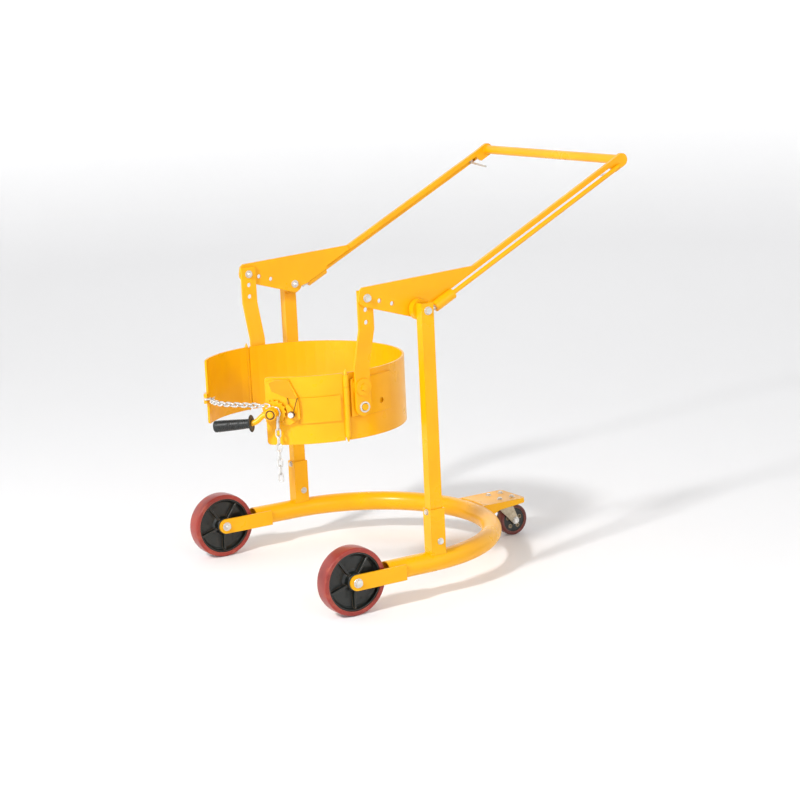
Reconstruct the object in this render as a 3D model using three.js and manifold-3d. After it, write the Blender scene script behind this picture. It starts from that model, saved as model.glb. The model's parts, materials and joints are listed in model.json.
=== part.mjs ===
// Drum dolly: fork base on two wheels and a caster, uprights, lifting lever and a tilting drum saddle.
// Millimetres, +Z up, +X towards the handle, the chain ratchet on the -Y side, the drum's axis at x = y = 0.

import * as THREE from 'three';
import { mergeVertices } from 'three/addons/utils/BufferGeometryUtils.js';
import Module from 'manifold-3d';

const wasm = await Module();
wasm.setup();

// Driving dimensions.
const gap = 0.3; // between pieces that touch
const boltFit = 0.3; // radial play of a bolt in its hole
const band = { inner: 294, wall: 6, below: 151, above: 45, end: 95 }; // below and above the tilting pivot
const bandOuter = band.inner + band.wall;

// Across the dolly: the drop links clear the band, the lever clears the links, the legs clear the lever.
const link = { width: 50, thick: 8, clear: 11, step: 36 };
link.lower = bandOuter + link.clear;
link.upper = link.lower + link.step;
const leverPlate = { thick: 8, clear: 1, nose: 26, rise: 31 };
leverPlate.inner = link.upper + link.thick + leverPlate.clear;
const legOut = 48; // from the lever plate's inner face to the leg's centre line
const legY = leverPlate.inner + legOut; // half the distance between the two legs of the base tube

const caster = { wheel: 50, width: 32, behind: 119, trail: 41, headroom: 32, plateThick: 5 };
caster.plateTop = 2 * caster.wheel + caster.headroom;

const tubeRadius = 30;
const tubeWall = 3;
const tubeZ = caster.plateTop - 28;
const legFrontX = 8;
const arcCentreX = 164;
caster.pivotX = arcCentreX + legY + caster.behind;
const outrigger = { half: 68, behind: 170, fold: 5, lip: 15 };

const wheelRadius = 100; // front wheels
const wheelWidth = 50;
const tyreDepth = 14;
const wheelClear = 14; // from the tyre to the leg's open end
const axleX = legFrontX - wheelRadius - wheelClear;
const axleRadius = 7;
const hubHalf = tubeRadius - 1; // the wheel's hub fits between the fork plates
const forkPlate = { depth: 46, thick: 8, lap: 49 };

const uprightX = 180;
const leverPivotZ = 840;
const upright = { alongX: 40, alongY: 30, wall: 2.5, above: 22 };
upright.foot = tubeZ + tubeRadius + 8;
upright.top = leverPivotZ + upright.above;
const socket = { alongX: 48, alongY: 40, wall: 3.4, rise: 158, boltRise: 61, boltX: 6 };
socket.top = tubeZ + socket.rise;
socket.boltZ = tubeZ + socket.boltRise;
const boltRadius = 6; // pivot bolts of the lever
const boltHead = 9;
const socketBoltRadius = 5;

// The lever: its arm runs back and up from the pivot in the uprights.
const leverLength = 829.47; // from the pivot to the handle, along the arm
const pivotAbove = 17.48; // the pivot stands above the handle's line
const armPitch = THREE.MathUtils.degToRad(27);
const [pitchCos, pitchSin] = [Math.cos(armPitch), Math.sin(armPitch)];
const handle = { radius: 14, wall: 2.5 };
handle.x = uprightX + leverLength * pitchCos + pivotAbove * pitchSin;
handle.z = leverPivotZ + leverLength * pitchSin - pivotAbove * pitchCos;
const liftPivot = { x: uprightX - 165, z: leverPivotZ + 50 }; // front pivot, over the drop link
const spareHoleRadius = 7;
const spareHolePitch = 43;
const arm = { width: 15, thick: 12, above: 18 };
const endPlateRadius = 20;
const endPlateLength = 38;
const leverKink = leverLength - 222.5; // from the handle back to the kink of the lever plate

const latch = { drop: 7, guideRadius: 7, guideBore: 4.6, rodRadius: 4, plungerRadius: 7, travel: 15 };
latch.y = leverPlate.inner + 16.5;
const sleeve = { from: leverLength - 118.5, to: leverLength - 47.5, radius: 16 };
const guideStart = 20;
const trigger = { at: 70, radius: 3.5, farReach: latch.y - 95.5, nearReach: latch.y - 40.5, droop: 0.1 };
const plungerTip = leverLength - 27;
const bossRadius = 31;

// The saddle hangs between the drop links.
const tiltPivotZ = liftPivot.z - 261;
const lockPinZ = tiltPivotZ - 57;
const lockPinRadius = 6;
link.top = liftPivot.z + 22;
link.foot = lockPinZ - 27;
const linkBend = { top: liftPivot.z - 90, foot: tiltPivotZ + 61 };
const linkHoles = [liftPivot.z - 34, liftPivot.z - 70];

band.foot = tiltPivotZ - band.below;
band.top = tiltPivotZ + band.above;
const bandMiddle = (band.foot + band.top) / 2;
const wing = { start: 97, end: 141, corner: 14 };
const hinge = { angle: 96, radius: band.inner + 9, barrel: 8.5, pin: 4, cone: 14 };
const knuckle = { upper: band.top - 40, lower: band.foot + 102, top: band.top - 4, foot: band.foot + 10 };
const sidePlate = { from: 64.5, to: 93.5, foot: link.foot, top: tiltPivotZ + 26, wall: 6 };
const spareLock = { x: liftPivot.x + 74, z: lockPinZ + 5, radius: 8 };
const trunnion = { radius: 15, flange: 25, root: 28 };

const ratchetTurn = -135.5; // compass angle of the ratchet's axis round the drum
const ratchetZ = bandMiddle;
const bracketFace = bandOuter + 6.3;
const gear = { tip: 37, root: 31.5, teeth: 16, thick: 7.5 };
const spool = { flange: 20, groove: 13, from: bracketFace + 11.7, width: 16 };
spool.to = spool.from + spool.width;
const strapHalf = 37; // strap between the bracket and the hinge
const strapThick = 4;
const crankY = spool.to + 10; // radial place of the lever's hub
const gripStart = { u: -54, drop: 23.5 };
const gripLength = 114;
const gripRadius = 17;
const gripFlange = 25;
const gripSlope = THREE.MathUtils.degToRad(5.3);
const pawlPivot = { u: 52, drop: 6 };
const chainRadius = 7;
const chainWrap = band.inner - 6; // radius of the chain round the drum
const chainCentreX = 12; // the drum stands back against the band
const chainFall = 34; // from the spool to the far wing
const chainTail = { top: ratchetZ - 25, foot: ratchetZ - 198, u: spool.groove };
const anchor = { ahead: 12, behind: 14, half: 15, proud: 6 }; // lug for the chain on the far wing

const casterBolt = 6; // radius of the caster's axle bolt

const yellow = new THREE.MeshStandardMaterial({ color: 0xf0ae00, roughness: 0.45, metalness: 0.0 });
const tyreRed = new THREE.MeshStandardMaterial({ color: 0xa8352a, roughness: 0.6, metalness: 0.0 });
const coreBlack = new THREE.MeshStandardMaterial({ color: 0x14181a, roughness: 0.55, metalness: 0.0 });
const rubber = new THREE.MeshStandardMaterial({ color: 0x0e1212, roughness: 0.75, metalness: 0.0 });
const zinc = new THREE.MeshStandardMaterial({ color: 0xc9ccce, roughness: 0.35, metalness: 0.9 });
const forkZinc = new THREE.MeshStandardMaterial({ color: 0xb9a98c, roughness: 0.45, metalness: 0.8 });

const group = new THREE.Group();
const sides = [['near', -1], ['far', 1]];
const rad = THREE.MathUtils.degToRad;

// ---- solids ----

// Position-only geometry with shared vertices, no flat triangles and its faces pointing out.
function clean(geometry) {
  const bare = geometry.clone();
  bare.deleteAttribute('normal');
  bare.deleteAttribute('uv');
  const merged = mergeVertices(bare, 1e-4);
  const p = merged.attributes.position;
  const corners = [new THREE.Vector3(), new THREE.Vector3(), new THREE.Vector3()];
  const kept = [];
  let volume = 0;
  for (let i = 0; i < merged.index.count; i += 3) {
    const t = [0, 1, 2].map((k) => merged.index.getX(i + k));
    if (t[0] === t[1] || t[1] === t[2] || t[2] === t[0]) continue;
    t.forEach((v, k) => corners[k].fromBufferAttribute(p, v));
    volume += corners[0].dot(corners[1].clone().cross(corners[2]));
    kept.push(...t);
  }
  if (volume < 0) {
    for (let i = 0; i < kept.length; i += 3) [kept[i], kept[i + 1]] = [kept[i + 1], kept[i]];
  }
  merged.setIndex(kept);
  return merged;
}

function toSolid(geometry) {
  const g = clean(geometry);
  const vertProperties = new Float32Array(g.attributes.position.array);
  const triVerts = new Uint32Array(g.index.array);
  return new wasm.Manifold(new wasm.Mesh({ numProp: 3, vertProperties, triVerts }));
}

function toGeometry(solid) {
  const m = solid.getMesh();
  const g = new THREE.BufferGeometry();
  g.setAttribute('position', new THREE.Float32BufferAttribute(m.vertProperties, 3));
  g.setIndex([...m.triVerts]);
  return g;
}

function join(first, ...others) {
  return toGeometry(others.reduce((sum, g) => sum.add(toSolid(g)), toSolid(first)));
}

function cut(first, ...others) {
  return toGeometry(others.reduce((rest, g) => rest.subtract(toSolid(g)), toSolid(first)));
}

function common(first, second) {
  return toGeometry(toSolid(first).intersect(toSolid(second)));
}

// ---- shapes ----

function boxAt(x0, x1, y0, y1, z0, z1) {
  const g = new THREE.BoxGeometry(Math.abs(x1 - x0), Math.abs(y1 - y0), Math.abs(z1 - z0));
  return g.translate((x0 + x1) / 2, (y0 + y1) / 2, (z0 + z1) / 2);
}

// A plate drawn in x and z, between two places along Y.
function plateXZ(shape, y0, y1, curveSegments = 6) {
  const depth = Math.abs(y1 - y0);
  const g = new THREE.ExtrudeGeometry(shape, { depth, bevelEnabled: false, curveSegments });
  return g.rotateX(Math.PI / 2).translate(0, Math.max(y0, y1), 0);
}

// A plate drawn in x and y, between two heights.
function plateXY(shape, z0, z1, curveSegments = 6) {
  const g = new THREE.ExtrudeGeometry(shape, { depth: z1 - z0, bevelEnabled: false, curveSegments });
  return g.translate(0, 0, z0);
}

function rod(from, to, radius, sidesRound = 12) {
  const a = new THREE.Vector3(...from);
  const b = new THREE.Vector3(...to);
  const along = b.clone().sub(a);
  const g = new THREE.CylinderGeometry(radius, radius, along.length(), sidesRound);
  g.applyQuaternion(new THREE.Quaternion().setFromUnitVectors(new THREE.Vector3(0, 1, 0), along.normalize()));
  return g.translate((a.x + b.x) / 2, (a.y + b.y) / 2, (a.z + b.z) / 2);
}

// A rod along Y.
function crossRod(x, y0, y1, z, radius, sidesRound = 12) {
  return rod([x, y0, z], [x, y1, z], radius, sidesRound);
}

// A round body on a line along Y: profile points are [radius, y].
function turned(profile, x, z, segments) {
  const points = profile.map(([r, y]) => new THREE.Vector2(r, y));
  return new THREE.LatheGeometry(points, segments).translate(x, 0, z);
}

// A bolt along Y with a hexagon head at one end and a hexagon nut at the other.
function boltY(x, z, radius, headFace, headEnd, nutFace, nutEnd) {
  const shank = rod([x, headEnd, z], [x, nutEnd, z], radius);
  const head = rod([x, headFace, z], [x, headEnd, z], radius * 1.75, 6);
  const nut = rod([x, nutFace, z], [x, nutEnd, z], radius * 1.75, 6);
  return join(shank, head, nut);
}

function polygon(points) {
  return new THREE.Shape(points.map(([x, y]) => new THREE.Vector2(x, y)));
}

// A ring sector about the drum axis between two compass angles.
function sector(inner, outer, from, to, z0, z1, step = 6) {
  const n = Math.max(2, Math.ceil((to - from) / step));
  const angles = Array.from({ length: n + 1 }, (_, i) => rad(from + ((to - from) * i) / n));
  const outside = angles.map((a) => [outer * Math.cos(a), outer * Math.sin(a)]);
  const inside = angles.map((a) => [inner * Math.cos(a), inner * Math.sin(a)]).reverse();
  return plateXY(polygon([...outside, ...inside]), z0, z1);
}

function rectTube(x, y, alongX, alongY, wall, z0, z1) {
  const outside = boxAt(x - alongX / 2, x + alongX / 2, y - alongY / 2, y + alongY / 2, z0, z1);
  const hx = alongX / 2 - wall;
  const hy = alongY / 2 - wall;
  return cut(outside, boxAt(x - hx, x + hx, y - hy, y + hy, z0 - 1, z1 + 1));
}

function add(name, geometry, material, parent = group) {
  const mesh = new THREE.Mesh(clean(geometry), material);
  mesh.name = name;
  parent.add(mesh);
}

// ---- base ----

// The U of the base tube: two straight legs joined by half a circle, measured by length.
class BaseCurve extends THREE.Curve {
  getPoint(t) {
    const leg = arcCentreX - legFrontX;
    const half = Math.PI * legY;
    const s = t * (2 * leg + half);
    if (s <= leg) return new THREE.Vector3(legFrontX + s, -legY, tubeZ);
    if (s >= leg + half) return new THREE.Vector3(arcCentreX - (s - leg - half), legY, tubeZ);
    const a = (s - leg) / legY - Math.PI / 2;
    return new THREE.Vector3(arcCentreX + legY * Math.cos(a), legY * Math.sin(a), tubeZ);
  }
}

function tubeAlong(curve, radius, bore, steps, sidesRound) {
  const shape = new THREE.Shape().absarc(0, 0, radius, 0, 2 * Math.PI);
  if (bore > 0) shape.holes.push(new THREE.Path().absarc(0, 0, bore, 0, 2 * Math.PI, true));
  const options = { steps, extrudePath: curve, bevelEnabled: false, curveSegments: sidesRound / 2 };
  return new THREE.ExtrudeGeometry(shape, options);
}

const baseCurve = new BaseCurve();
const baseSteps = 28;
add('base_tube', tubeAlong(baseCurve, tubeRadius, tubeRadius - tubeWall, baseSteps, 16), yellow);
const tubeSpace = tubeAlong(baseCurve, tubeRadius + gap, 0, baseSteps, 16);

function forkPlateShape() {
  const r = forkPlate.depth / 2;
  const shape = new THREE.Shape();
  const rear = legFrontX + forkPlate.lap;
  shape.moveTo(rear, wheelRadius - r);
  shape.lineTo(rear, wheelRadius + r);
  shape.lineTo(axleX, wheelRadius + r);
  shape.absarc(axleX, wheelRadius, r, Math.PI / 2, (3 * Math.PI) / 2);
  shape.holes.push(new THREE.Path().absarc(axleX, wheelRadius, axleRadius + boltFit, 0, 2 * Math.PI, true));
  return shape;
}

const plateInside = tubeRadius + gap;
const plateOutside = plateInside + forkPlate.thick;
for (const [side, s] of sides) {
  for (const [place, d] of [['outer', 1], ['inner', -1]]) {
    const y0 = s * (legY + d * plateInside);
    const y1 = s * (legY + d * plateOutside);
    add(`fork_plate_${side}_${place}`, plateXZ(forkPlateShape(), y0, y1), yellow);
  }
  const headFace = s * (legY + plateOutside + gap);
  const nutFace = s * (legY - plateOutside - gap);
  const bolt = boltY(axleX, wheelRadius, axleRadius, headFace, headFace + s * 9, nutFace, nutFace - s * 10);
  add(`axle_bolt_${side}`, bolt, zinc);
}

for (const [side, s] of sides) {
  const y = s * legY;
  const boltX = uprightX + socket.boltX;
  const boltEnd = socket.alongY / 2 + 20;
  const boltHole = socketBoltRadius + boltFit;
  const boltSpace = crossRod(boltX, y - boltEnd, y + boltEnd, socket.boltZ, boltHole);
  const sleeveTube = rectTube(uprightX, y, socket.alongX, socket.alongY, socket.wall, tubeZ + 12, socket.top);
  add(`socket_${side}`, cut(sleeveTube, tubeSpace, boltSpace), yellow);
  const post = rectTube(uprightX, y, upright.alongX, upright.alongY, upright.wall, upright.foot, upright.top);
  const pivotSpace = crossRod(uprightX, y - 30, y + 30, leverPivotZ, boltRadius + boltFit);
  add(`upright_${side}`, cut(post, boltSpace, pivotSpace), yellow);
  const outerFace = y + s * (socket.alongY / 2 + gap);
  const innerFace = y - s * (socket.alongY / 2 + gap);
  const [headEnd, nutEnd] = [outerFace + s * 6, innerFace - s * 7];
  const bolt = boltY(boltX, socket.boltZ, socketBoltRadius, outerFace, headEnd, innerFace, nutEnd);
  add(`socket_bolt_${side}`, bolt, zinc);
}

// The outrigger is a folded channel whose lips deepen towards the base tube.
function outriggerSolid() {
  const top = caster.plateTop;
  const start = arcCentreX + legY + 2;
  const { half, behind, fold, lip } = outrigger;
  const end = arcCentreX + legY + behind;
  const profile = polygon([
    [start, top], [end, top], [end, top - lip], [end - 98, top - lip - 9],
    [start + tubeRadius, tubeZ - 12], [start, tubeZ - 12],
  ]);
  const block = plateXZ(profile, -half, half);
  const inside = boxAt(start - 1, end + 1, -half + fold, half - fold, 0, top - caster.plateThick);
  const outline = new THREE.Shape();
  outline.moveTo(start - 1, -half - 1);
  outline.lineTo(end - 12, -half - 1);
  outline.quadraticCurveTo(end, -half, end, -half + 14);
  outline.lineTo(end, half - 14);
  outline.quadraticCurveTo(end, half, end - 12, half + 1);
  outline.lineTo(start - 1, half + 1);
  return cut(common(block, plateXY(outline, 0, top + 1, 5)), inside, tubeSpace);
}
add('outrigger', outriggerSolid(), yellow);

// ---- front wheels ----

const wheelSegments = 28;

function frontTyre(y) {
  const half = wheelWidth / 2;
  const inside = wheelRadius - tyreDepth;
  const profile = [
    [inside, -half + 2], [wheelRadius - 5, -half], [wheelRadius, -half + 5],
    [wheelRadius, half - 5], [wheelRadius - 5, half], [inside, half - 2], [inside, -half + 2],
  ];
  return turned(profile.map(([r, d]) => [r, y + d]), axleX, wheelRadius, wheelSegments);
}

function frontCore(y) {
  const bore = axleRadius + boltFit;
  const rim = wheelRadius - tyreDepth - gap;
  const rimHalf = wheelWidth / 2 - 3;
  const profile = [
    [bore, -hubHalf], [24, -hubHalf], [26, -7], [rim - 9, -6], [rim - 7, -rimHalf], [rim, -rimHalf],
    [rim, rimHalf], [rim - 7, rimHalf], [rim - 9, 6], [26, 7], [24, hubHalf], [bore, hubHalf],
    [bore, -hubHalf],
  ];
  const wheel = turned(profile.map(([r, d]) => [r, y + d]), axleX, wheelRadius, wheelSegments);
  const ribs = [];
  for (const face of [-1, 1]) {
    for (let i = 0; i < 5; i += 1) {
      const rib = boxAt(23, rim - 5, y + face * 4, y + face * 19, -3, 3);
      rib.rotateY(-rad(54 + 72 * i)).translate(axleX, 0, wheelRadius);
      ribs.push(rib);
    }
  }
  return join(wheel, ...ribs);
}

for (const [side, s] of sides) {
  add(`tyre_${side}`, frontTyre(s * legY), tyreRed);
  add(`wheel_core_${side}`, frontCore(s * legY), coreBlack);
}

// ---- rear caster ----

const casterTop = caster.plateTop - caster.plateThick - gap;
const casterAxleX = caster.pivotX + caster.trail;
const crownTop = casterTop - 14;
const casterPlate = boxAt(caster.pivotX - 50, caster.pivotX + 44, -42, 42, casterTop - 4, casterTop);
const race = rod([caster.pivotX, 0, casterTop - 3], [caster.pivotX, 0, crownTop + gap], 28, 20);
add('caster_mount', join(casterPlate, race), forkZinc);

function casterForkSolid() {
  const x = caster.pivotX;
  const leg = new THREE.Shape();
  leg.moveTo(x - 26, crownTop);
  leg.lineTo(x - 22, crownTop - 14);
  leg.lineTo(casterAxleX - 11, caster.wheel - 6);
  leg.absarc(casterAxleX, caster.wheel, 12, rad(210), rad(370));
  leg.lineTo(x + 30, crownTop - 6);
  leg.lineTo(x + 26, crownTop);
  const inner = caster.width / 2 + 4;
  const legs = [-1, 1].map((s) => plateXZ(leg, s * inner, s * (inner + 3.5), 8));
  const crown = boxAt(x - 26, x + 26, -inner - 3.5, inner + 3.5, crownTop - 7, crownTop);
  const axle = crossRod(casterAxleX, -40, 40, caster.wheel, casterBolt + boltFit);
  return cut(join(crown, ...legs), axle);
}
add('caster_fork', casterForkSolid(), forkZinc);

const casterFace = caster.width / 2 + 7.5 + gap;
const casterEnd = casterFace + casterBolt;
const casterFaces = [-casterFace, -casterEnd, casterFace, casterEnd];
add('caster_axle', boltY(casterAxleX, caster.wheel, casterBolt, ...casterFaces), zinc);

const casterHalf = caster.width / 2;
const casterRim = caster.wheel - 11;
const casterTyreProfile = [
  [casterRim, -casterHalf + 1], [caster.wheel - 4, -casterHalf], [caster.wheel, -casterHalf + 5],
  [caster.wheel, casterHalf - 5], [caster.wheel - 4, casterHalf], [casterRim, casterHalf - 1],
  [casterRim, -casterHalf + 1],
];
add('caster_tyre', turned(casterTyreProfile, casterAxleX, caster.wheel, 24), tyreRed);

function casterCoreSolid() {
  const bore = casterBolt + boltFit;
  const rim = casterRim - gap;
  const profile = [
    [bore, -18], [13, -18], [14, -13], [rim, -13], [rim, 13], [14, 13], [13, 18], [bore, 18], [bore, -18],
  ];
  const holes = [];
  for (let i = 0; i < 5; i += 1) {
    const a = rad(18 + 72 * i);
    const x = casterAxleX + 24 * Math.cos(a);
    const z = caster.wheel + 24 * Math.sin(a);
    holes.push(rod([x, -20, z], [x, 20, z], 7, 10));
  }
  return cut(turned(profile, casterAxleX, caster.wheel, 24), ...holes);
}
add('caster_core', casterCoreSolid(), coreBlack);

// ---- lever ----

// A place on the lever: back from the handle along the arm, and above that line.
function leverPoint(back, above) {
  return {
    x: handle.x - back * pitchCos - above * pitchSin,
    z: handle.z - back * pitchSin + above * pitchCos,
  };
}

function leverRod(from, to, above, y, radius, sidesRound = 16) {
  const a = leverPoint(from, above);
  const b = leverPoint(to, above);
  return rod([a.x, y, a.z], [b.x, y, b.z], radius, sidesRound);
}

const armFoot = arm.above - arm.width;
const plateFall = Math.atan2(liftPivot.z - leverPivotZ, uprightX - liftPivot.x);

function leverPlateShape() {
  const { x, z } = liftPivot;
  const down = -Math.PI / 2 - plateFall;
  const kink = leverPoint(leverKink, arm.above);
  const end = leverPoint(leverKink, armFoot);
  const shape = new THREE.Shape();
  shape.moveTo(x - leverPlate.nose + 13, z + leverPlate.rise);
  shape.lineTo(x - leverPlate.nose + 4, z + leverPlate.rise - 9);
  shape.lineTo(x - leverPlate.nose, z);
  shape.absarc(x, z, leverPlate.nose, Math.PI, 2 * Math.PI + down);
  shape.absarc(uprightX, leverPivotZ, leverPlate.nose, 2 * Math.PI + down, 2 * Math.PI + rad(-20));
  const notch = sleeve.from - 6;
  for (const [back, above] of [[sleeve.to, -latch.drop], [notch, -latch.drop], [notch, armFoot]]) {
    const p = leverPoint(back, above);
    shape.lineTo(p.x, p.z);
  }
  shape.lineTo(end.x, end.z);
  shape.lineTo(kink.x, kink.z);
  const holes = [[x, z, boltRadius + boltFit], [uprightX, leverPivotZ, boltRadius + boltFit]];
  for (const n of [1, 2]) {
    const hx = x + n * spareHolePitch * Math.cos(plateFall);
    holes.push([hx, z - n * spareHolePitch * Math.sin(plateFall), spareHoleRadius]);
  }
  holes.forEach(([hx, hz, r]) => shape.holes.push(new THREE.Path().absarc(hx, hz, r, 0, 2 * Math.PI, true)));
  return shape;
}

function armSolid(s) {
  const y0 = s * (leverPlate.inner + leverPlate.thick - arm.thick);
  const y1 = s * (leverPlate.inner + leverPlate.thick);
  const shape = new THREE.Shape();
  const corners = [[leverKink - gap, arm.above], [leverKink - gap, armFoot], [endPlateLength + 12, armFoot]];
  corners.push([endPlateLength, -endPlateRadius], [0, -endPlateRadius]);
  corners.forEach(([back, above], i) => {
    const p = leverPoint(back, above);
    if (i === 0) shape.moveTo(p.x, p.z);
    else shape.lineTo(p.x, p.z);
  });
  shape.absarc(handle.x, handle.z, endPlateRadius, armPitch - Math.PI / 2, armPitch + Math.PI / 2);
  const last = leverPoint(endPlateLength, arm.above);
  shape.lineTo(last.x, last.z);
  return plateXZ(shape, y0, y1, 6);
}

for (const [side, s] of sides) {
  const y0 = s * leverPlate.inner;
  const y1 = s * (leverPlate.inner + leverPlate.thick);
  const around = sleeve.radius + 2 * gap;
  const sleeveSpace = leverRod(sleeve.from - gap, sleeve.to + gap, -latch.drop, s * latch.y, around);
  add(`lever_plate_${side}`, cut(plateXZ(leverPlateShape(), y0, y1), sleeveSpace), yellow);
  const tube = leverRod(sleeve.from, sleeve.to, -latch.drop, s * latch.y, sleeve.radius);
  const bore = leverRod(sleeve.from - 1, sleeve.to + 1, -latch.drop, s * latch.y, latch.plungerRadius + 0.5);
  add(`latch_sleeve_${side}`, cut(tube, bore), yellow);
  add(`lever_arm_${side}`, armSolid(s), yellow);

  const guide = leverRod(guideStart, sleeve.from - gap, -latch.drop, s * latch.y, latch.guideRadius);
  const guideBore = leverRod(guideStart - 1, sleeve.from + 1, -latch.drop, s * latch.y, latch.guideBore, 12);
  const slotFrom = trigger.at - latch.travel - trigger.radius - 1;
  const slotTo = trigger.at + trigger.radius + 1;
  const slotHalf = trigger.radius + 1;
  const [slotLow, slotHigh] = [-latch.drop - slotHalf, -latch.drop + slotHalf];
  const slot = boxAt(-slotTo, -slotFrom, s * latch.y, s * (latch.y - 12), slotLow, slotHigh);
  slot.rotateY(-armPitch).translate(handle.x, 0, handle.z);
  add(`latch_guide_${side}`, cut(guide, guideBore, slot), yellow);

  const thin = leverRod(trigger.at - 12, sleeve.from + 30, -latch.drop, s * latch.y, latch.rodRadius, 10);
  const plunger = leverRod(sleeve.from + 29, plungerTip, -latch.drop, s * latch.y, latch.plungerRadius);
  const pin = leverPoint(trigger.at, -latch.drop);
  const reach = s * (s < 0 ? trigger.nearReach : trigger.farReach);
  const low = pin.z - trigger.droop * Math.abs(s * latch.y - reach);
  const triggerPin = rod([pin.x, s * latch.y, pin.z], [pin.x, reach, low], trigger.radius, 10);
  add(`latch_rod_${side}`, join(thin, plunger, triggerPin), zinc);

  const inner = s * (latch.y - latch.plungerRadius + 0.5);
  const outer = s * (legY - upright.alongY / 2 - gap);
  const boss = crossRod(uprightX, inner, outer, leverPivotZ, bossRadius, 24);
  const bossBore = crossRod(uprightX, inner - s, outer + s, leverPivotZ, boltRadius + boltFit);
  const pocketEnd = plungerTip + latch.travel;
  const pocket = leverRod(plungerTip - 8, pocketEnd, -latch.drop, s * latch.y, latch.plungerRadius + 0.6);
  add(`pivot_boss_${side}`, cut(boss, bossBore, pocket), yellow);
  const pivotHead = s * (legY + upright.alongY / 2 + gap);
  const pivotNut = s * (leverPlate.inner - gap);
  const headEnd = pivotHead + s * boltHead;
  const nutEnd = pivotNut - s * boltHead;
  const pivotBolt = boltY(uprightX, leverPivotZ, boltRadius, pivotHead, headEnd, pivotNut, nutEnd);
  add(`pivot_bolt_${side}`, pivotBolt, zinc);
}

const handleEnd = leverPlate.inner + leverPlate.thick - arm.thick - gap;
const handleTube = crossRod(handle.x, -handleEnd, handleEnd, handle.z, handle.radius, 16);
const handleInside = handle.radius - handle.wall;
const handleBore = crossRod(handle.x, -handleEnd - 1, handleEnd + 1, handle.z, handleInside);
add('handle_bar', cut(handleTube, handleBore), yellow);

// ---- drop links ----

function linkSolid(s) {
  const { width, thick, upper, lower, top, foot } = link;
  const side = polygon([
    [s * upper, top], [s * (upper + thick), top], [s * (upper + thick), linkBend.top],
    [s * (lower + thick), linkBend.foot], [s * (lower + thick), foot], [s * lower, foot],
    [s * lower, linkBend.foot], [s * upper, linkBend.top],
  ]);
  const strip = new THREE.ExtrudeGeometry(side, { depth: width, bevelEnabled: false });
  strip.rotateX(Math.PI / 2).rotateZ(Math.PI / 2).translate(liftPivot.x - width / 2, 0, 0);
  const outline = new THREE.Shape();
  const r = width / 2;
  outline.moveTo(liftPivot.x + r, foot + r);
  outline.lineTo(liftPivot.x + r, top + 1);
  outline.lineTo(liftPivot.x - r, top + 1);
  outline.lineTo(liftPivot.x - r, foot + r);
  outline.absarc(liftPivot.x, foot + r, r, Math.PI, 2 * Math.PI);
  const holes = [[liftPivot.z, boltRadius + boltFit], [tiltPivotZ, trunnion.radius + boltFit]];
  holes.push([lockPinZ, lockPinRadius + boltFit]);
  linkHoles.forEach((z) => holes.push([z, spareHoleRadius]));
  holes.forEach(([z, radius]) => {
    outline.holes.push(new THREE.Path().absarc(liftPivot.x, z, radius, 0, 2 * Math.PI, true));
  });
  return common(strip, plateXZ(outline, s * (lower - 30), s * (upper + thick + 25), 8));
}

const lockFace = link.lower + link.thick + gap;
for (const [side, s] of sides) {
  add(`drop_link_${side}`, linkSolid(s), yellow);
  const head = s * (leverPlate.inner + leverPlate.thick + gap);
  const nut = s * (link.upper - gap);
  const [headEnd, nutEnd] = [head + s * boltHead, nut - s * boltHead];
  const bolt = boltY(liftPivot.x, liftPivot.z, boltRadius, head, headEnd, nut, nutEnd);
  add(`lift_bolt_${side}`, bolt, zinc);
}

const lockTip = link.lower - 0.5;
const lockShank = crossRod(liftPivot.x, -lockTip, -lockFace - 8, lockPinZ, lockPinRadius);
const lockKnob = crossRod(liftPivot.x, -lockFace - 1, -lockFace - 9, lockPinZ, 10);
add('lock_pin', join(lockShank, lockKnob), yellow);
const ringProfile = [[11, 0], [16, 0], [16, 6], [11, 6], [11, 0]];
const lockRing = turned(ringProfile.map(([r, d]) => [r, -lockFace - d]), liftPivot.x, lockPinZ, 20);
add('lock_ring', lockRing, zinc);

// ---- saddle ----

const hingeFit = 0.5;
const chainZ = ratchetZ + spool.groove + 3;

function hingeRod(s, z0, z1, radius, sidesRound = 14) {
  const a = rad(s * hinge.angle);
  const x = hinge.radius * Math.cos(a);
  const y = hinge.radius * Math.sin(a);
  return rod([x, y, z0], [x, y, z1], radius, sidesRound);
}

// An upright round block about the drum axis, to cut pieces that sit against something round.
function roundSpace(radius, segments = 60) {
  const height = 500;
  const g = new THREE.CylinderGeometry(radius, radius, height, segments);
  return g.rotateX(Math.PI / 2).translate(0, 0, tiltPivotZ);
}

// The middle knuckle of each hinge belongs to the band, the two outer ones to the wing.
function bandSolid() {
  let solid = sector(band.inner, bandOuter, -band.end, band.end, band.foot, band.top);
  for (const s of [-1, 1]) {
    const wingSpaces = [
      hingeRod(s, knuckle.foot - 30, knuckle.lower + hingeFit, hinge.barrel + hingeFit),
      hingeRod(s, knuckle.upper - hingeFit, knuckle.top + 30, hinge.barrel + hingeFit),
    ];
    const barrel = hingeRod(s, knuckle.lower + hingeFit, knuckle.upper - hingeFit, hinge.barrel);
    const bore = hingeRod(s, band.foot, band.top, hinge.pin + boltFit, 12);
    solid = cut(join(cut(solid, ...wingSpaces), barrel), bore, roundSpace(band.inner));
  }
  return solid;
}
add('saddle_band', bandSolid(), yellow);

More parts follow.
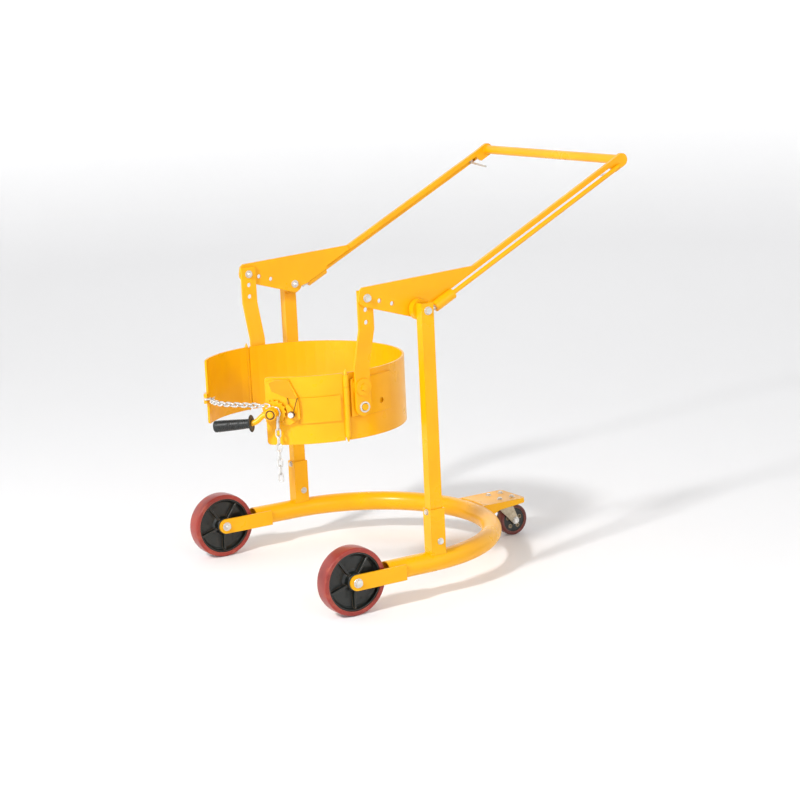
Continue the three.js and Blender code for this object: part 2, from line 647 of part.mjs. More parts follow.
function wingSolid(s) {
  const from = s < 0 ? -wing.end : wing.start;
  const to = s < 0 ? -wing.start : wing.end;
  const plate = sector(band.inner, bandOuter, from, to, band.foot, band.top);
  const middle = s * (wing.start + wing.end) / 2;
  const halfWidth = bandOuter * Math.sin(rad((wing.end - wing.start) / 2)) + 1;
  const outline = new THREE.Shape();
  const c = wing.corner;
  const front = s * halfWidth;
  outline.moveTo(-front, band.foot - 1);
  outline.lineTo(front + Math.sign(-front) * c, band.foot);
  outline.quadraticCurveTo(front, band.foot, front, band.foot + c);
  outline.lineTo(front, band.top - c);
  outline.quadraticCurveTo(front, band.top, front + Math.sign(-front) * c, band.top);
  outline.lineTo(-front, band.top + 1);
  const stencil = plateXZ(outline, 0, -bandOuter - 100, 4).rotateZ(rad(middle + 90));
  const spaces = [[knuckle.lower, knuckle.upper], [band.foot - 1, knuckle.foot], [knuckle.top, band.top + 1]];
  const clear = spaces.map(([z0, z1]) => hingeRod(s, z0, z1, hinge.barrel + hingeFit));
  const barrels = [
    hingeRod(s, knuckle.foot, knuckle.lower, hinge.barrel),
    hingeRod(s, knuckle.upper, knuckle.top, hinge.barrel),
  ];
  const bore = hingeRod(s, band.foot - 5, band.top + 5, hinge.pin + boltFit, 12);
  return cut(join(cut(common(plate, stencil), ...clear), ...barrels), bore, roundSpace(band.inner));
}

function chainAnchor() {
  const z = chainZ - chainFall;
  const { ahead, behind, half, proud } = anchor;
  const lug = boxAt(-ahead, behind, band.inner + 2, bandOuter + proud, z - half, z + half);
  return cut(lug.rotateZ(rad(wing.end - 90)), roundSpace(band.inner));
}

add('wing_near', wingSolid(-1), yellow);
add('wing_far', join(wingSolid(1), chainAnchor()), yellow);

function hingePin(s) {
  const a = rad(s * hinge.angle);
  const [capTip, capBase] = [1.5, 7];
  const shank = hingeRod(s, knuckle.foot - 2, knuckle.top + 2, hinge.pin, 12);
  const caps = [[knuckle.foot - gap, -1], [knuckle.top + gap, 1]].map(([z, d]) => {
    const [top, foot] = d > 0 ? [capTip, capBase] : [capBase, capTip];
    const g = new THREE.CylinderGeometry(top, foot, hinge.cone, 12).rotateX(Math.PI / 2);
    return g.translate(hinge.radius * Math.cos(a), hinge.radius * Math.sin(a), z + (d * hinge.cone) / 2);
  });
  return join(shank, ...caps);
}

function sidePlateSolid(s) {
  const from = s < 0 ? -sidePlate.to : sidePlate.from;
  const to = s < 0 ? -sidePlate.from : sidePlate.to;
  const inner = bandOuter + gap;
  const plate = sector(inner, inner + sidePlate.wall, from, to, sidePlate.foot, sidePlate.top, 4);
  const through = [s * (bandOuter - 60), s * (bandOuter + 30)];
  const lock = crossRod(liftPivot.x, ...through, lockPinZ, lockPinRadius + boltFit);
  const spare = crossRod(spareLock.x, ...through, spareLock.z, spareLock.radius, 14);
  return cut(plate, lock, spare);
}

function trunnionSolid(s) {
  const x = liftPivot.x;
  const root = crossRod(x, s * (bandOuter - 10), s * (link.lower - gap), tiltPivotZ, trunnion.root, 24);
  const shank = crossRod(x, s * bandOuter, s * (lockFace + 2), tiltPivotZ, trunnion.radius, 20);
  const flange = crossRod(x, s * lockFace, s * (lockFace + 5), tiltPivotZ, trunnion.flange, 24);
  const head = crossRod(x, s * (lockFace + 4), s * (lockFace + 10), tiltPivotZ, 11, 6);
  const seat = bandOuter + 2 * gap + sidePlate.wall;
  return cut(join(root, shank, flange, head), roundSpace(seat, 90));
}

for (const [side, s] of sides) {
  add(`hinge_pin_${side}`, hingePin(s), yellow);
  add(`side_plate_${side}`, sidePlateSolid(s), yellow);
  add(`trunnion_${side}`, trunnionSolid(s), yellow);
}

// ---- chain ratchet on the near wing ----
// In this group +X runs back round the drum and -Y points out from its axis.

const ratchet = new THREE.Group();
ratchet.rotation.z = rad(ratchetTurn + 90);
group.add(ratchet);

function bracketSolid() {
  const corners = [[-23, 83], [-2, 92], [45, 92], [72, 36], [74, -20], [44, -38], [-22, -38], [-27, 24]];
  const block = plateXZ(polygon(corners), -bracketFace, -bandOuter + 50).translate(0, 0, ratchetZ);
  const strapFrom = THREE.MathUtils.radToDeg(Math.asin(70 / bandOuter)) - 90;
  const strapTo = -hinge.angle - 3.5 - ratchetTurn - 90;
  const inner = bandOuter + gap;
  const [low, high] = [ratchetZ - strapHalf, ratchetZ + strapHalf];
  const strap = sector(inner, inner + strapThick, strapFrom, strapTo, low, high, 4);
  return cut(join(block, strap), roundSpace(inner, 90));
}
add('ratchet_bracket', bracketSolid(), yellow, ratchet);

// Saw teeth that catch on the pawl; the chain spool and the axle are one piece with the gear.
function ratchetWheelSolid() {
  const outline = [];
  for (let i = 0; i < gear.teeth; i += 1) {
    const a = (2 * Math.PI * i) / gear.teeth;
    const b = a + (2 * Math.PI) / gear.teeth - 0.06;
    outline.push([gear.tip * Math.cos(a), ratchetZ + gear.tip * Math.sin(a)]);
    outline.push([gear.root * Math.cos(b), ratchetZ + gear.root * Math.sin(b)]);
  }
  const face = bracketFace + 1.7;
  const wheel = plateXZ(polygon(outline), -face, -face - gear.thick);
  const { flange, groove, from, to } = spool;
  const profile = [
    [0, bracketFace + gap], [12, bracketFace + gap], [12, from], [flange, from], [flange, from + 2],
    [groove, from + 5], [groove, to - 5], [flange, to - 2], [flange, to],
    [8, to], [8, crankY + 12], [0, crankY + 12],
  ];
  return join(wheel, turned(profile.map(([r, d]) => [r, -d]), 0, ratchetZ, 20));
}
add('ratchet_wheel', ratchetWheelSolid(), yellow, ratchet);

function crankSolid() {
  const hub = rod([0, -crankY + 8, ratchetZ], [0, -crankY - 8, ratchetZ], 17, 20);
  const { u, drop } = gripStart;
  const points = [[-8, -crankY, 0], [-24, -crankY - 1, -4], [u + 15, -crankY - 7, -17]];
  points.push([u, -crankY - 10, -drop], [u - 30, -crankY - 10, -drop - 30 * Math.tan(gripSlope)]);
  const curve = new THREE.CatmullRomCurve3(points.map((p) => new THREE.Vector3(...p)));
  const bar = tubeAlong(curve, 8, 0, 12, 10).translate(0, 0, ratchetZ);
  const bore = rod([0, -crankY + 9, ratchetZ], [0, -crankY - 9, ratchetZ], 8 + boltFit);
  return cut(join(hub, bar), bore);
}
add('ratchet_lever', crankSolid(), yellow, ratchet);

function gripSolid() {
  const profile = [
    [0, 42], [9, 42], [9, 0], [gripFlange, 0], [gripFlange, 4], [15, 8], [gripRadius - 2, 14],
    [gripRadius, gripLength - 6], [gripRadius - 4, gripLength], [0, gripLength],
  ];
  const g = new THREE.LatheGeometry(profile.map(([r, d]) => new THREE.Vector2(r, d)), 20);
  const { u, drop } = gripStart;
  return g.rotateZ(Math.PI / 2).rotateY(-gripSlope).translate(u, -crankY - 10, ratchetZ - drop);
}
add('ratchet_grip', gripSolid(), rubber, ratchet);

function pawlSolid() {
  const { u } = pawlPivot;
  const z = ratchetZ - pawlPivot.drop;
  const nose = polygon([[u - 17, z + 23], [u - 10, z + 31], [u + 9, z + 8], [u + 9, z - 7], [u - 6, z - 9]]);
  const face = bracketFace + 1.7;
  const plate = plateXZ(nose, -face, -face - gear.thick);
  const pivot = rod([u, -bracketFace - gap, z], [u, -face - gear.thick - 1, z], 5, 12);
  const nut = rod([u, -face - gear.thick + 1, z], [u, -face - gear.thick - 5, z], 8, 6);
  return join(plate, pivot, nut);
}
add('pawl', pawlSolid(), yellow, ratchet);

// ---- chain ----
// The chain's outer size: round the front of the drum, and hanging from the spool.

const spoolMid = (spool.from + spool.to) / 2;
const chainEnd = 52; // where the modelled span stops, short of the gear

class ChainCurve extends THREE.Curve {
  getPoint(t) {
    const spoolX = spoolMid * Math.cos(rad(ratchetTurn)) - chainCentreX;
    const spoolY = spoolMid * Math.sin(rad(ratchetTurn));
    const reach = Math.hypot(spoolX, spoolY);
    const wrapStart = rad(wing.end) + (anchor.ahead + 3) / band.inner;
    const wrapEnd = Math.atan2(spoolY, spoolX) + 2 * Math.PI - Math.acos(chainWrap / reach);
    const straight = Math.sqrt(reach ** 2 - chainWrap ** 2) - chainEnd;
    const wrapped = (wrapEnd - wrapStart) * chainWrap;
    const s = t * (wrapped + straight);
    const a = Math.min(wrapStart + s / chainWrap, wrapEnd);
    const rest = Math.max(0, s - wrapped);
    const x = chainCentreX + chainWrap * Math.cos(a) - rest * Math.sin(a);
    const y = chainWrap * Math.sin(a) + rest * Math.cos(a);
    return new THREE.Vector3(x, y, chainZ - chainFall * (1 - t));
  }
}
add('chain_span', tubeAlong(new ChainCurve(), chainRadius, 0, 22, 8), zinc);

const { u: tailU, top: tailTop, foot: tailFoot } = chainTail;
const tail = rod([tailU, -spoolMid, tailTop], [tailU, -spoolMid, tailFoot], chainRadius, 8);
add('chain_tail', tail, zinc, ratchet);

// The origin is the middle of the outline on the floor.
group.updateMatrixWorld(true);
const outside = new THREE.Box3().setFromObject(group, true);
group.position.set(-(outside.min.x + outside.max.x) / 2, 0, 0);

export default group;
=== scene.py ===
import json
import math
import bpy
from mathutils import Matrix, Vector


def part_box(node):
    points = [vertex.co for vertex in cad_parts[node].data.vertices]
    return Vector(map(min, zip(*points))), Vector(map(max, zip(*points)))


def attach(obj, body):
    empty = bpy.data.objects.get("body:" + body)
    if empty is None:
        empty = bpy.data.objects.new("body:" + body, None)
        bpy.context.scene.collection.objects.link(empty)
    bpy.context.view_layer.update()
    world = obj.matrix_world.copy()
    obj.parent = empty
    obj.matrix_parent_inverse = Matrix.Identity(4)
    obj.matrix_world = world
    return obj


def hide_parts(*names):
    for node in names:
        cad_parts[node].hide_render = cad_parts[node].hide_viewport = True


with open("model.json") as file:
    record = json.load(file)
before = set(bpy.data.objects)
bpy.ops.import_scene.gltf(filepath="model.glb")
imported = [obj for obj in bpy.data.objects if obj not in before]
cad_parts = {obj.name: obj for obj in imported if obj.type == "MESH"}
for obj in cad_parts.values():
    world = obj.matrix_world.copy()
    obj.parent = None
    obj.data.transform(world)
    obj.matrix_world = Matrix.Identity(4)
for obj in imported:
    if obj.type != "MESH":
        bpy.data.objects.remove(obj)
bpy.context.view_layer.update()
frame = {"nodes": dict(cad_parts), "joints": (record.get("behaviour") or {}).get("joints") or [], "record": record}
nodes = frame["nodes"]
joints = {joint["name"]: joint for joint in frame["joints"]}
sides = (("near", -1), ("far", 1))
print("frame loaded:", len(nodes), "nodes")

# the drum's axis is 15 mm in front of the tilting pivot
drumX = joints["saddle_tilt"]["pos_m"][0] - 0.015


def place(x, y, z):  # millimetres from the drum's axis on the floor
    return Vector((x / 1000 + drumX, y / 1000, z / 1000))


camera = {
    "place": (-2876.8, -5253.5, 1749.9),
    "right": (0.8478, -0.5284, -0.0457),
    "up": (0.1435, 0.1457, 0.9789),
    "back": (-0.5106, -0.8364, 0.1993),
    "lens": 92.1,
}


def makeCamera(c):
    data = bpy.data.cameras.new("camera")
    data.lens = c["lens"]
    data.sensor_width = 36
    data.clip_end = 60
    obj = bpy.data.objects.new("camera", data)
    turn = Matrix((c["right"], c["up"], c["back"])).transposed().to_4x4()
    obj.matrix_world = Matrix.Translation(place(*c["place"])) @ turn
    bpy.context.scene.collection.objects.link(obj)
    bpy.context.scene.camera = obj


makeCamera(camera)
print("camera placed")

# materials


def addNode(tree, kind, spot=(0, 0), **settings):
    node = tree.nodes.new(kind)
    node.location = spot
    for key, value in settings.items():
        setattr(node, key, value)
    return node


def newGroup(name, inputs, outputs):
    group = bpy.data.node_groups.new(name, "ShaderNodeTree")
    for label, kind, value in inputs:
        socket = group.interface.new_socket(label, in_out="INPUT", socket_type=kind)
        socket.default_value = value
    for label, kind in outputs:
        group.interface.new_socket(label, in_out="OUTPUT", socket_type=kind)
    start = addNode(group, "NodeGroupInput", (-900, 0))
    end = addNode(group, "NodeGroupOutput", (700, 0))
    return group, start.outputs, end.inputs


def noise(tree, scale, detail, vector=None, spot=(0, 0)):
    node = addNode(tree, "ShaderNodeTexNoise", spot)
    node.inputs["Detail"].default_value = detail
    if isinstance(scale, (int, float)):
        node.inputs["Scale"].default_value = scale
    else:
        tree.links.new(scale, node.inputs["Scale"])
    if vector is not None:
        tree.links.new(vector, node.inputs["Vector"])
    return node.outputs["Fac"]


def remap(tree, value, low, high, newLow, newHigh, spot=(0, 0)):
    node = addNode(tree, "ShaderNodeMapRange", spot)
    ends = (("From Min", low), ("From Max", high), ("To Min", newLow), ("To Max", newHigh))
    for label, number in ends:
        if isinstance(number, (int, float)):
            node.inputs[label].default_value = number
        else:
            tree.links.new(number, node.inputs[label])
    tree.links.new(value, node.inputs["Value"])
    return node.outputs["Result"]


def maths(tree, operation, first, second=None, spot=(0, 0)):
    node = addNode(tree, "ShaderNodeMath", spot, operation=operation)
    for i, value in enumerate((first, second)):
        if isinstance(value, (int, float)):
            node.inputs[i].default_value = value
        elif value is not None:
            tree.links.new(value, node.inputs[i])
    return node.outputs[0]


def mixColor(tree, factor, first, second, spot=(0, 0)):
    node = addNode(tree, "ShaderNodeMix", spot, data_type="RGBA")
    for i, value in ((0, factor), (6, first), (7, second)):
        if isinstance(value, (int, float, tuple)):
            node.inputs[i].default_value = value
        else:
            tree.links.new(value, node.inputs[i])
    return node.outputs[2]


def edgeWearGroup():  # a mask that is 1 where a corner is rubbed
    inputs = (
        ("Radius", "NodeSocketFloat", 0.002),
        ("Amount", "NodeSocketFloat", 0.5),
        ("Break Up", "NodeSocketFloat", 90.0),
    )
    tree, given, out = newGroup("edgeWear", inputs, (("Mask", "NodeSocketFloat"),))
    bevel = addNode(tree, "ShaderNodeBevel", (-700, 200), samples=4)
    tree.links.new(given["Radius"], bevel.inputs["Radius"])
    shape = addNode(tree, "ShaderNodeNewGeometry", (-700, -50))
    dot = addNode(tree, "ShaderNodeVectorMath", (-500, 100), operation="DOT_PRODUCT")
    tree.links.new(bevel.outputs["Normal"], dot.inputs[0])
    tree.links.new(shape.outputs["Normal"], dot.inputs[1])
    corner = remap(tree, dot.outputs["Value"], 0.965, 0.82, 0.0, 1.0, (-300, 100))
    coords = addNode(tree, "ShaderNodeTexCoord", (-900, -300))
    patches = noise(tree, given["Break Up"], 6, coords.outputs["Object"], (-500, -250))
    limit = maths(tree, "SUBTRACT", 1.0, given["Amount"], (-500, -450))
    rubbed = maths(tree, "MULTIPLY", corner, maths(tree, "ADD", patches, 0.45))
    broken = maths(tree, "GREATER_THAN", rubbed, limit, (100, 0))
    tree.links.new(broken, out["Mask"])
    return tree


def orangePeelGroup():  # sprayed powder: soft waves, a little dust in the finish
    inputs = (("Gloss", "NodeSocketFloat", 0.3), ("Wave Scale", "NodeSocketFloat", 260.0))
    outputs = (("Height", "NodeSocketFloat"), ("Roughness", "NodeSocketFloat"), ("Tone", "NodeSocketFloat"))
    tree, given, out = newGroup("orangePeel", inputs, outputs)
    coords = addNode(tree, "ShaderNodeTexCoord", (-900, -300)).outputs["Object"]
    waves = noise(tree, given["Wave Scale"], 2, coords, (-600, 200))
    dust = noise(tree, 1400.0, 1, coords, (-600, 0))
    tree.links.new(maths(tree, "ADD", waves, maths(tree, "MULTIPLY", dust, 0.15)), out["Height"])
    clouds = noise(tree, 9.0, 4, coords, (-600, -200))
    high = maths(tree, "ADD", given["Gloss"], 0.14)
    tree.links.new(remap(tree, clouds, 0.35, 0.7, given["Gloss"], high), out["Roughness"])
    tree.links.new(clouds, out["Tone"])
    return tree


def rubberGrainGroup():  # moulded rubber or cast iron: pores and scuffs
    inputs = (("Grain Scale", "NodeSocketFloat", 500.0), ("Scuff Scale", "NodeSocketFloat", 30.0))
    outputs = (("Height", "NodeSocketFloat"), ("Scuff", "NodeSocketFloat"), ("Tone", "NodeSocketFloat"))
    tree, given, out = newGroup("rubberGrain", inputs, outputs)
    coords = addNode(tree, "ShaderNodeTexCoord", (-900, -300)).outputs["Object"]
    grain = noise(tree, given["Grain Scale"], 5, coords, (-600, 200))
    tree.links.new(grain, out["Height"])
    scuffs = noise(tree, given["Scuff Scale"], 8, coords, (-600, 0))
    tree.links.new(remap(tree, scuffs, 0.56, 0.68, 0.0, 1.0), out["Scuff"])
    tree.links.new(noise(tree, 14.0, 3, coords, (-600, -200)), out["Tone"])
    return tree


def platedMetalGroup():  # zinc plate: fine scratches and cloudy crystals
    inputs = (("Scratch Scale", "NodeSocketFloat", 700.0), ("Cloud Scale", "NodeSocketFloat", 60.0))
    outputs = (("Height", "NodeSocketFloat"), ("Roughness", "NodeSocketFloat"), ("Tone", "NodeSocketFloat"))
    tree, given, out = newGroup("platedMetal", inputs, outputs)
    coords = addNode(tree, "ShaderNodeTexCoord", (-900, -300)).outputs["Object"]
    stretch = addNode(tree, "ShaderNodeMapping", (-700, 150))
    stretch.inputs["Scale"].default_value = (1.0, 0.12, 1.0)
    tree.links.new(coords, stretch.inputs["Vector"])
    scratches = noise(tree, given["Scratch Scale"], 3, stretch.outputs["Vector"], (-500, 150))
    tree.links.new(scratches, out["Height"])
    clouds = noise(tree, given["Cloud Scale"], 4, coords, (-500, -100))
    tree.links.new(remap(tree, clouds, 0.3, 0.7, 0.24, 0.46), out["Roughness"])
    tree.links.new(clouds, out["Tone"])
    return tree


edgeWear = edgeWearGroup()
orangePeel = orangePeelGroup()
rubberGrain = rubberGrainGroup()
platedMetal = platedMetalGroup()


def placeGroup(tree, group, values, spot=(-600, 0)):
    node = addNode(tree, "ShaderNodeGroup", spot, node_tree=group)
    for label, value in values.items():
        node.inputs[label].default_value = value
    return node.outputs


def newMaterial(name, metallic, coat=0.0, specular=0.5):
    material = bpy.data.materials.new(name)
    material.use_nodes = True
    tree = material.node_tree
    tree.nodes.clear()
    shader = addNode(tree, "ShaderNodeBsdfPrincipled", (300, 0))
    output = addNode(tree, "ShaderNodeOutputMaterial", (600, 0))
    tree.links.new(shader.outputs["BSDF"], output.inputs["Surface"])
    shader.inputs["Metallic"].default_value = metallic
    shader.inputs["Coat Weight"].default_value = coat
    shader.inputs["Coat Roughness"].default_value = 0.12
    shader.inputs["Specular IOR Level"].default_value = specular
    return material, tree, shader.inputs


def addBump(tree, sockets, height, strength, distance):
    bump = addNode(tree, "ShaderNodeBump", (50, -350))
    bump.inputs["Strength"].default_value = strength
    bump.inputs["Distance"].default_value = distance
    tree.links.new(height, bump.inputs["Height"])
    tree.links.new(bump.outputs["Normal"], sockets["Normal"])


paint = {
    "light": (0.89, 0.435, 0.001, 1),
    "deep": (0.85, 0.385, 0.001, 1),
    "worn": (0.62, 0.25, 0.002, 1),
    "gloss": 0.26,
    "waves": 260.0,
    "wear": 0.42,
}
# a darker copy of the yellow paint: painted shade for the raised field on the ratchet's housing
paintedShadeColors = {**paint, "light": (0.70, 0.32, 0.001, 1), "deep": (0.62, 0.26, 0.001, 1)}


def paintMaterial(name, p):
    material, tree, sockets = newMaterial(name, 0.0, coat=0.05, specular=0.28)
    peel = placeGroup(tree, orangePeel, {"Gloss": p["gloss"], "Wave Scale": p["waves"]})
    worn = placeGroup(tree, edgeWear, {"Radius": 0.0016, "Amount": p["wear"]}, (-600, -300))
    sprayed = mixColor(tree, remap(tree, peel["Tone"], 0.3, 0.7, 0.0, 1.0), p["light"], p["deep"])
    tree.links.new(mixColor(tree, worn["Mask"], sprayed, p["worn"]), sockets["Base Color"])
    tree.links.new(peel["Roughness"], sockets["Roughness"])
    addBump(tree, sockets, peel["Height"], 0.25, 0.0004)
    return material


tyrePaint = {
    "light": (0.34, 0.034, 0.020, 1),
    "deep": (0.21, 0.015, 0.010, 1),
    "dust": (0.50, 0.13, 0.07, 1),
}
smallTyre = {
    "light": (0.15, 0.020, 0.013, 1),
    "deep": (0.07, 0.010, 0.007, 1),
    "dust": (0.36, 0.13, 0.07, 1),
}


def tyreMaterial(name, t):
    material, tree, sockets = newMaterial(name, 0.0, coat=0.08)
    grain = placeGroup(tree, rubberGrain, {"Grain Scale": 420.0, "Scuff Scale": 36.0})
    rubbed = placeGroup(tree, edgeWear, {"Radius": 0.004, "Amount": 0.8, "Break Up": 30.0}, (-600, -300))
    body = mixColor(tree, remap(tree, grain["Tone"], 0.3, 0.7, 0.0, 1.0), t["light"], t["deep"])
    scuffed = mixColor(tree, maths(tree, "MULTIPLY", grain["Scuff"], 0.35), body, t["dust"])
    worn = maths(tree, "MULTIPLY", rubbed["Mask"], 0.6)
    tree.links.new(mixColor(tree, worn, scuffed, t["dust"]), sockets["Base Color"])
    tree.links.new(remap(tree, grain["Scuff"], 0.0, 1.0, 0.34, 0.62), sockets["Roughness"])
    addBump(tree, sockets, grain["Height"], 0.3, 0.0003)
    return material


ironPaint = {
    "light": (0.008, 0.012, 0.010, 1),
    "deep": (0.003, 0.004, 0.0035, 1),
    "edge": (0.16, 0.105, 0.06, 1),
}


def ironMaterial(name, t):
    material, tree, sockets = newMaterial(name, 0.0, coat=0.15)
    grain = placeGroup(tree, rubberGrain, {"Grain Scale": 240.0, "Scuff Scale": 60.0})
    rubbed = placeGroup(tree, edgeWear, {"Radius": 0.0016, "Amount": 0.72, "Break Up": 55.0}, (-600, -300))
    body = mixColor(tree, remap(tree, grain["Tone"], 0.3, 0.7, 0.0, 1.0), t["light"], t["deep"])
    tree.links.new(mixColor(tree, rubbed["Mask"], body, t["edge"]), sockets["Base Color"])
    tree.links.new(remap(tree, grain["Scuff"], 0.0, 1.0, 0.36, 0.7), sockets["Roughness"])
    addBump(tree, sockets, grain["Height"], 0.5, 0.0006)
    return material


gripRubber = {
    "light": (0.010, 0.014, 0.014, 1),
    "deep": (0.004, 0.005, 0.005, 1),
    "edge": (0.10, 0.07, 0.05, 1),
}


def gripMaterial(name, t):
    material, tree, sockets = newMaterial(name, 0.0, coat=0.0)
    grain = placeGroup(tree, rubberGrain, {"Grain Scale": 900.0, "Scuff Scale": 45.0})
    rubbed = placeGroup(tree, edgeWear, {"Radius": 0.0012, "Amount": 0.6, "Break Up": 80.0}, (-600, -300))
    body = mixColor(tree, remap(tree, grain["Tone"], 0.3, 0.7, 0.0, 1.0), t["light"], t["deep"])
    worn = maths(tree, "MULTIPLY", rubbed["Mask"], 0.5)
    tree.links.new(mixColor(tree, worn, body, t["edge"]), sockets["Base Color"])
    tree.links.new(remap(tree, grain["Scuff"], 0.0, 1.0, 0.42, 0.66), sockets["Roughness"])
    addBump(tree, sockets, grain["Height"], 0.45, 0.0003)
    return material


# light, deep and grime colours of each plated metal
platedColors = {
    "brightZinc": ((0.80, 0.79, 0.76, 1), (0.58, 0.57, 0.54, 1), (0.30, 0.27, 0.22, 1)),
    "yellowZinc": ((0.58, 0.50, 0.37, 1), (0.38, 0.31, 0.21, 1), (0.16, 0.11, 0.06, 1)),
    "springSteel": ((0.16, 0.06, 0.03, 1), (0.07, 0.03, 0.02, 1), (0.30, 0.20, 0.12, 1)),
}


def platedMaterial(name):
    light, deep, grime = platedColors[name]
    material, tree, sockets = newMaterial(name, 0.75)
    plate = placeGroup(tree, platedMetal, {})
    rubbed = placeGroup(tree, edgeWear, {"Radius": 0.0012, "Amount": 0.5}, (-600, -300))
    body = mixColor(tree, remap(tree, plate["Tone"], 0.3, 0.7, 0.0, 1.0), light, deep)
    worn = maths(tree, "MULTIPLY", rubbed["Mask"], 0.5)
    tree.links.new(mixColor(tree, worn, body, grime), sockets["Base Color"])
    tree.links.new(plate["Roughness"], sockets["Roughness"])
    addBump(tree, sockets, plate["Height"], 0.2, 0.0002)
    return material


yellowPaint = paintMaterial("yellowPaint", paint)
paintedShadeYellow = paintMaterial("paintedShadeYellow", paintedShadeColors)
tyreRubber = tyreMaterial("tyreRubber", tyrePaint)
smallTyreRubber = tyreMaterial("smallTyreRubber", smallTyre)
blackIron = ironMaterial("blackIron", ironPaint)
blackGrip = gripMaterial("blackGrip", gripRubber)
brightZinc = platedMaterial("brightZinc")
yellowZinc = platedMaterial("yellowZinc")
springSteel = platedMaterial("springSteel")
slotMaterials = {
    "yellow_paint": yellowPaint, "tyre_red": tyreRubber, "wheel_core": blackIron,
    "grip": blackGrip, "zinc": brightZinc, "fork_zinc": yellowZinc,
}
print("materials made:", len(bpy.data.materials))

# tools for making pieces


def newPiece(name, points, faces, body, slot, material=None, replaces=(), corner=None, bevel=0.0):
    mesh = bpy.data.meshes.new(name)
    mesh.from_pydata([tuple(p) for p in points], [], faces)
    mesh.validate()
    mesh.update()
    mesh.shade_smooth()
    mesh.set_sharp_from_angle(angle=math.radians(corner or 40))
    piece = bpy.data.objects.new(name, mesh)
    bpy.context.scene.collection.objects.link(piece)
    mesh.materials.append(material or slotMaterials[slot])
    if bevel:
        roundEdges(piece, bevel)
    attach(piece, body)
    if replaces:
        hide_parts(*replaces)
    return piece


def roundEdges(piece, width, angle=32):
    bevel = piece.modifiers.new("rounded edges", "BEVEL")
    bevel.width = width
    bevel.segments = 2
    bevel.limit_method = "ANGLE"
    bevel.angle_limit = math.radians(angle)
    bevel.miter_outer = "MITER_ARC"
    normals = piece.modifiers.new("flat faces", "WEIGHTED_NORMAL")
    normals.keep_sharp = False
    normals.weight = 90


def turnedShell(profile, origin, axis, segments=72):
    # the profile is (radius, along), and closes on itself or starts and ends on the axis
    axis = Vector(axis).normalized()
    side = axis.orthogonal().normalized()
    other = axis.cross(side)
    points, faces, rings = [], [], []
    for radius, along in profile:
        centre = Vector(origin) + axis * along
        if radius < 1e-6:
            rings.append([len(points)] * segments)
            points.append(centre)
            continue
        rings.append(list(range(len(points), len(points) + segments)))
        for i in range(segments):
            a = 2 * math.pi * i / segments
            points.append(centre + radius * (math.cos(a) * side + math.sin(a) * other))
    closed = profile[0][0] > 1e-6
    count = len(rings) if closed else len(rings) - 1
    for k in range(count):
        low, high = rings[k], rings[(k + 1) % len(rings)]
        for i in range(segments):
            j = (i + 1) % segments
            face = [low[i], low[j], high[j], high[i]]
            face = [v for n, v in enumerate(face) if v not in face[:n]]
            if len(face) > 2:
                faces.append(face)
    return points, faces


def joinShells(*shells):
    points, faces = [], []
    for shellPoints, shellFaces in shells:
        start = len(points)
        points += [Vector(p) for p in shellPoints]
        faces += [[start + v for v in face] for face in shellFaces]
    return points, faces


def moveShell(shell, matrix):
    return [matrix @ Vector(p) for p in shell[0]], shell[1]


def sweptShell(path, radius, sidesRound=10, closed=False, bore=0.0):
    # the radius is a number, or a function of the share of the way
    path = [Vector(p) for p in path]
    count = len(path)
    tangents = []
    for i in range(count):
        before = path[i - 1] if i or closed else path[0]
        after = path[(i + 1) % count] if closed or i < count - 1 else path[-1]
        tangents.append((after - before).normalized())
    across = [tangents[0].orthogonal().normalized()]
    for i in range(1, count):
        turn = tangents[i - 1].rotation_difference(tangents[i])
        across.append((turn @ across[-1]).normalized())
    if closed:
        back = tangents[-1].rotation_difference(tangents[0]) @ across[-1]
        twist = back.angle(across[0])
        if back.cross(across[0]).dot(tangents[0]) < 0:
            twist = -twist
        across = [Matrix.Rotation(twist * i / count, 3, tangents[i]) @ a for i, a in enumerate(across)]
    points, faces = [], []

    def ring(i, r):
        other = tangents[i].cross(across[i])
        start = len(points)
        for k in range(sidesRound):
            a = 2 * math.pi * k / sidesRound
            points.append(path[i] + r * (math.cos(a) * across[i] + math.sin(a) * other))
        return start

    def skin(a, b, flip=False):
        for k in range(sidesRound):
            j = (k + 1) % sidesRound
            face = [a + k, a + j, b + j, b + k]
            faces.append(face[::-1] if flip else face)

    size = radius if callable(radius) else (lambda share: radius)
    rings = [ring(i, size(i / max(1, count - 1))) for i in range(count)]
    for i in range(count if closed else count - 1):
        skin(rings[i], rings[(i + 1) % count])
    if not closed and bore:
        inner = [ring(i, bore) for i in range(count)]
        for i in range(count - 1):
            skin(inner[i], inner[i + 1], flip=True)
        skin(inner[0], rings[0])
        skin(rings[-1], inner[-1])
    elif not closed:
        faces.append([rings[0] + k for k in range(sidesRound)][::-1])
        faces.append([rings[-1] + k for k in range(sidesRound)])
    return points, faces


def arcPoints(centre, radius, first, last, count, flat="xy"):
    turned = []
    for i in range(count + 1):
        a = math.radians(first + (last - first) * i / count)
        c, s = radius * math.cos(a), radius * math.sin(a)
        offset = {"xy": (c, s, 0), "xz": (c, 0, s)}[flat]
        turned.append(Vector(centre) + Vector(offset))
    return turned


def weldBead(name, path, body, size=0.0022, pitch=0.0035):
    path = evenly(path, pitch / 3)

    def radiusAt(share):  # one ripple every three steps
        return size * (1 - 0.16 * abs(math.sin(math.pi * share * len(path) / 3)))

    return newPiece(name, *sweptShell(path, radiusAt, 8), body, "yellow_paint", corner=180)


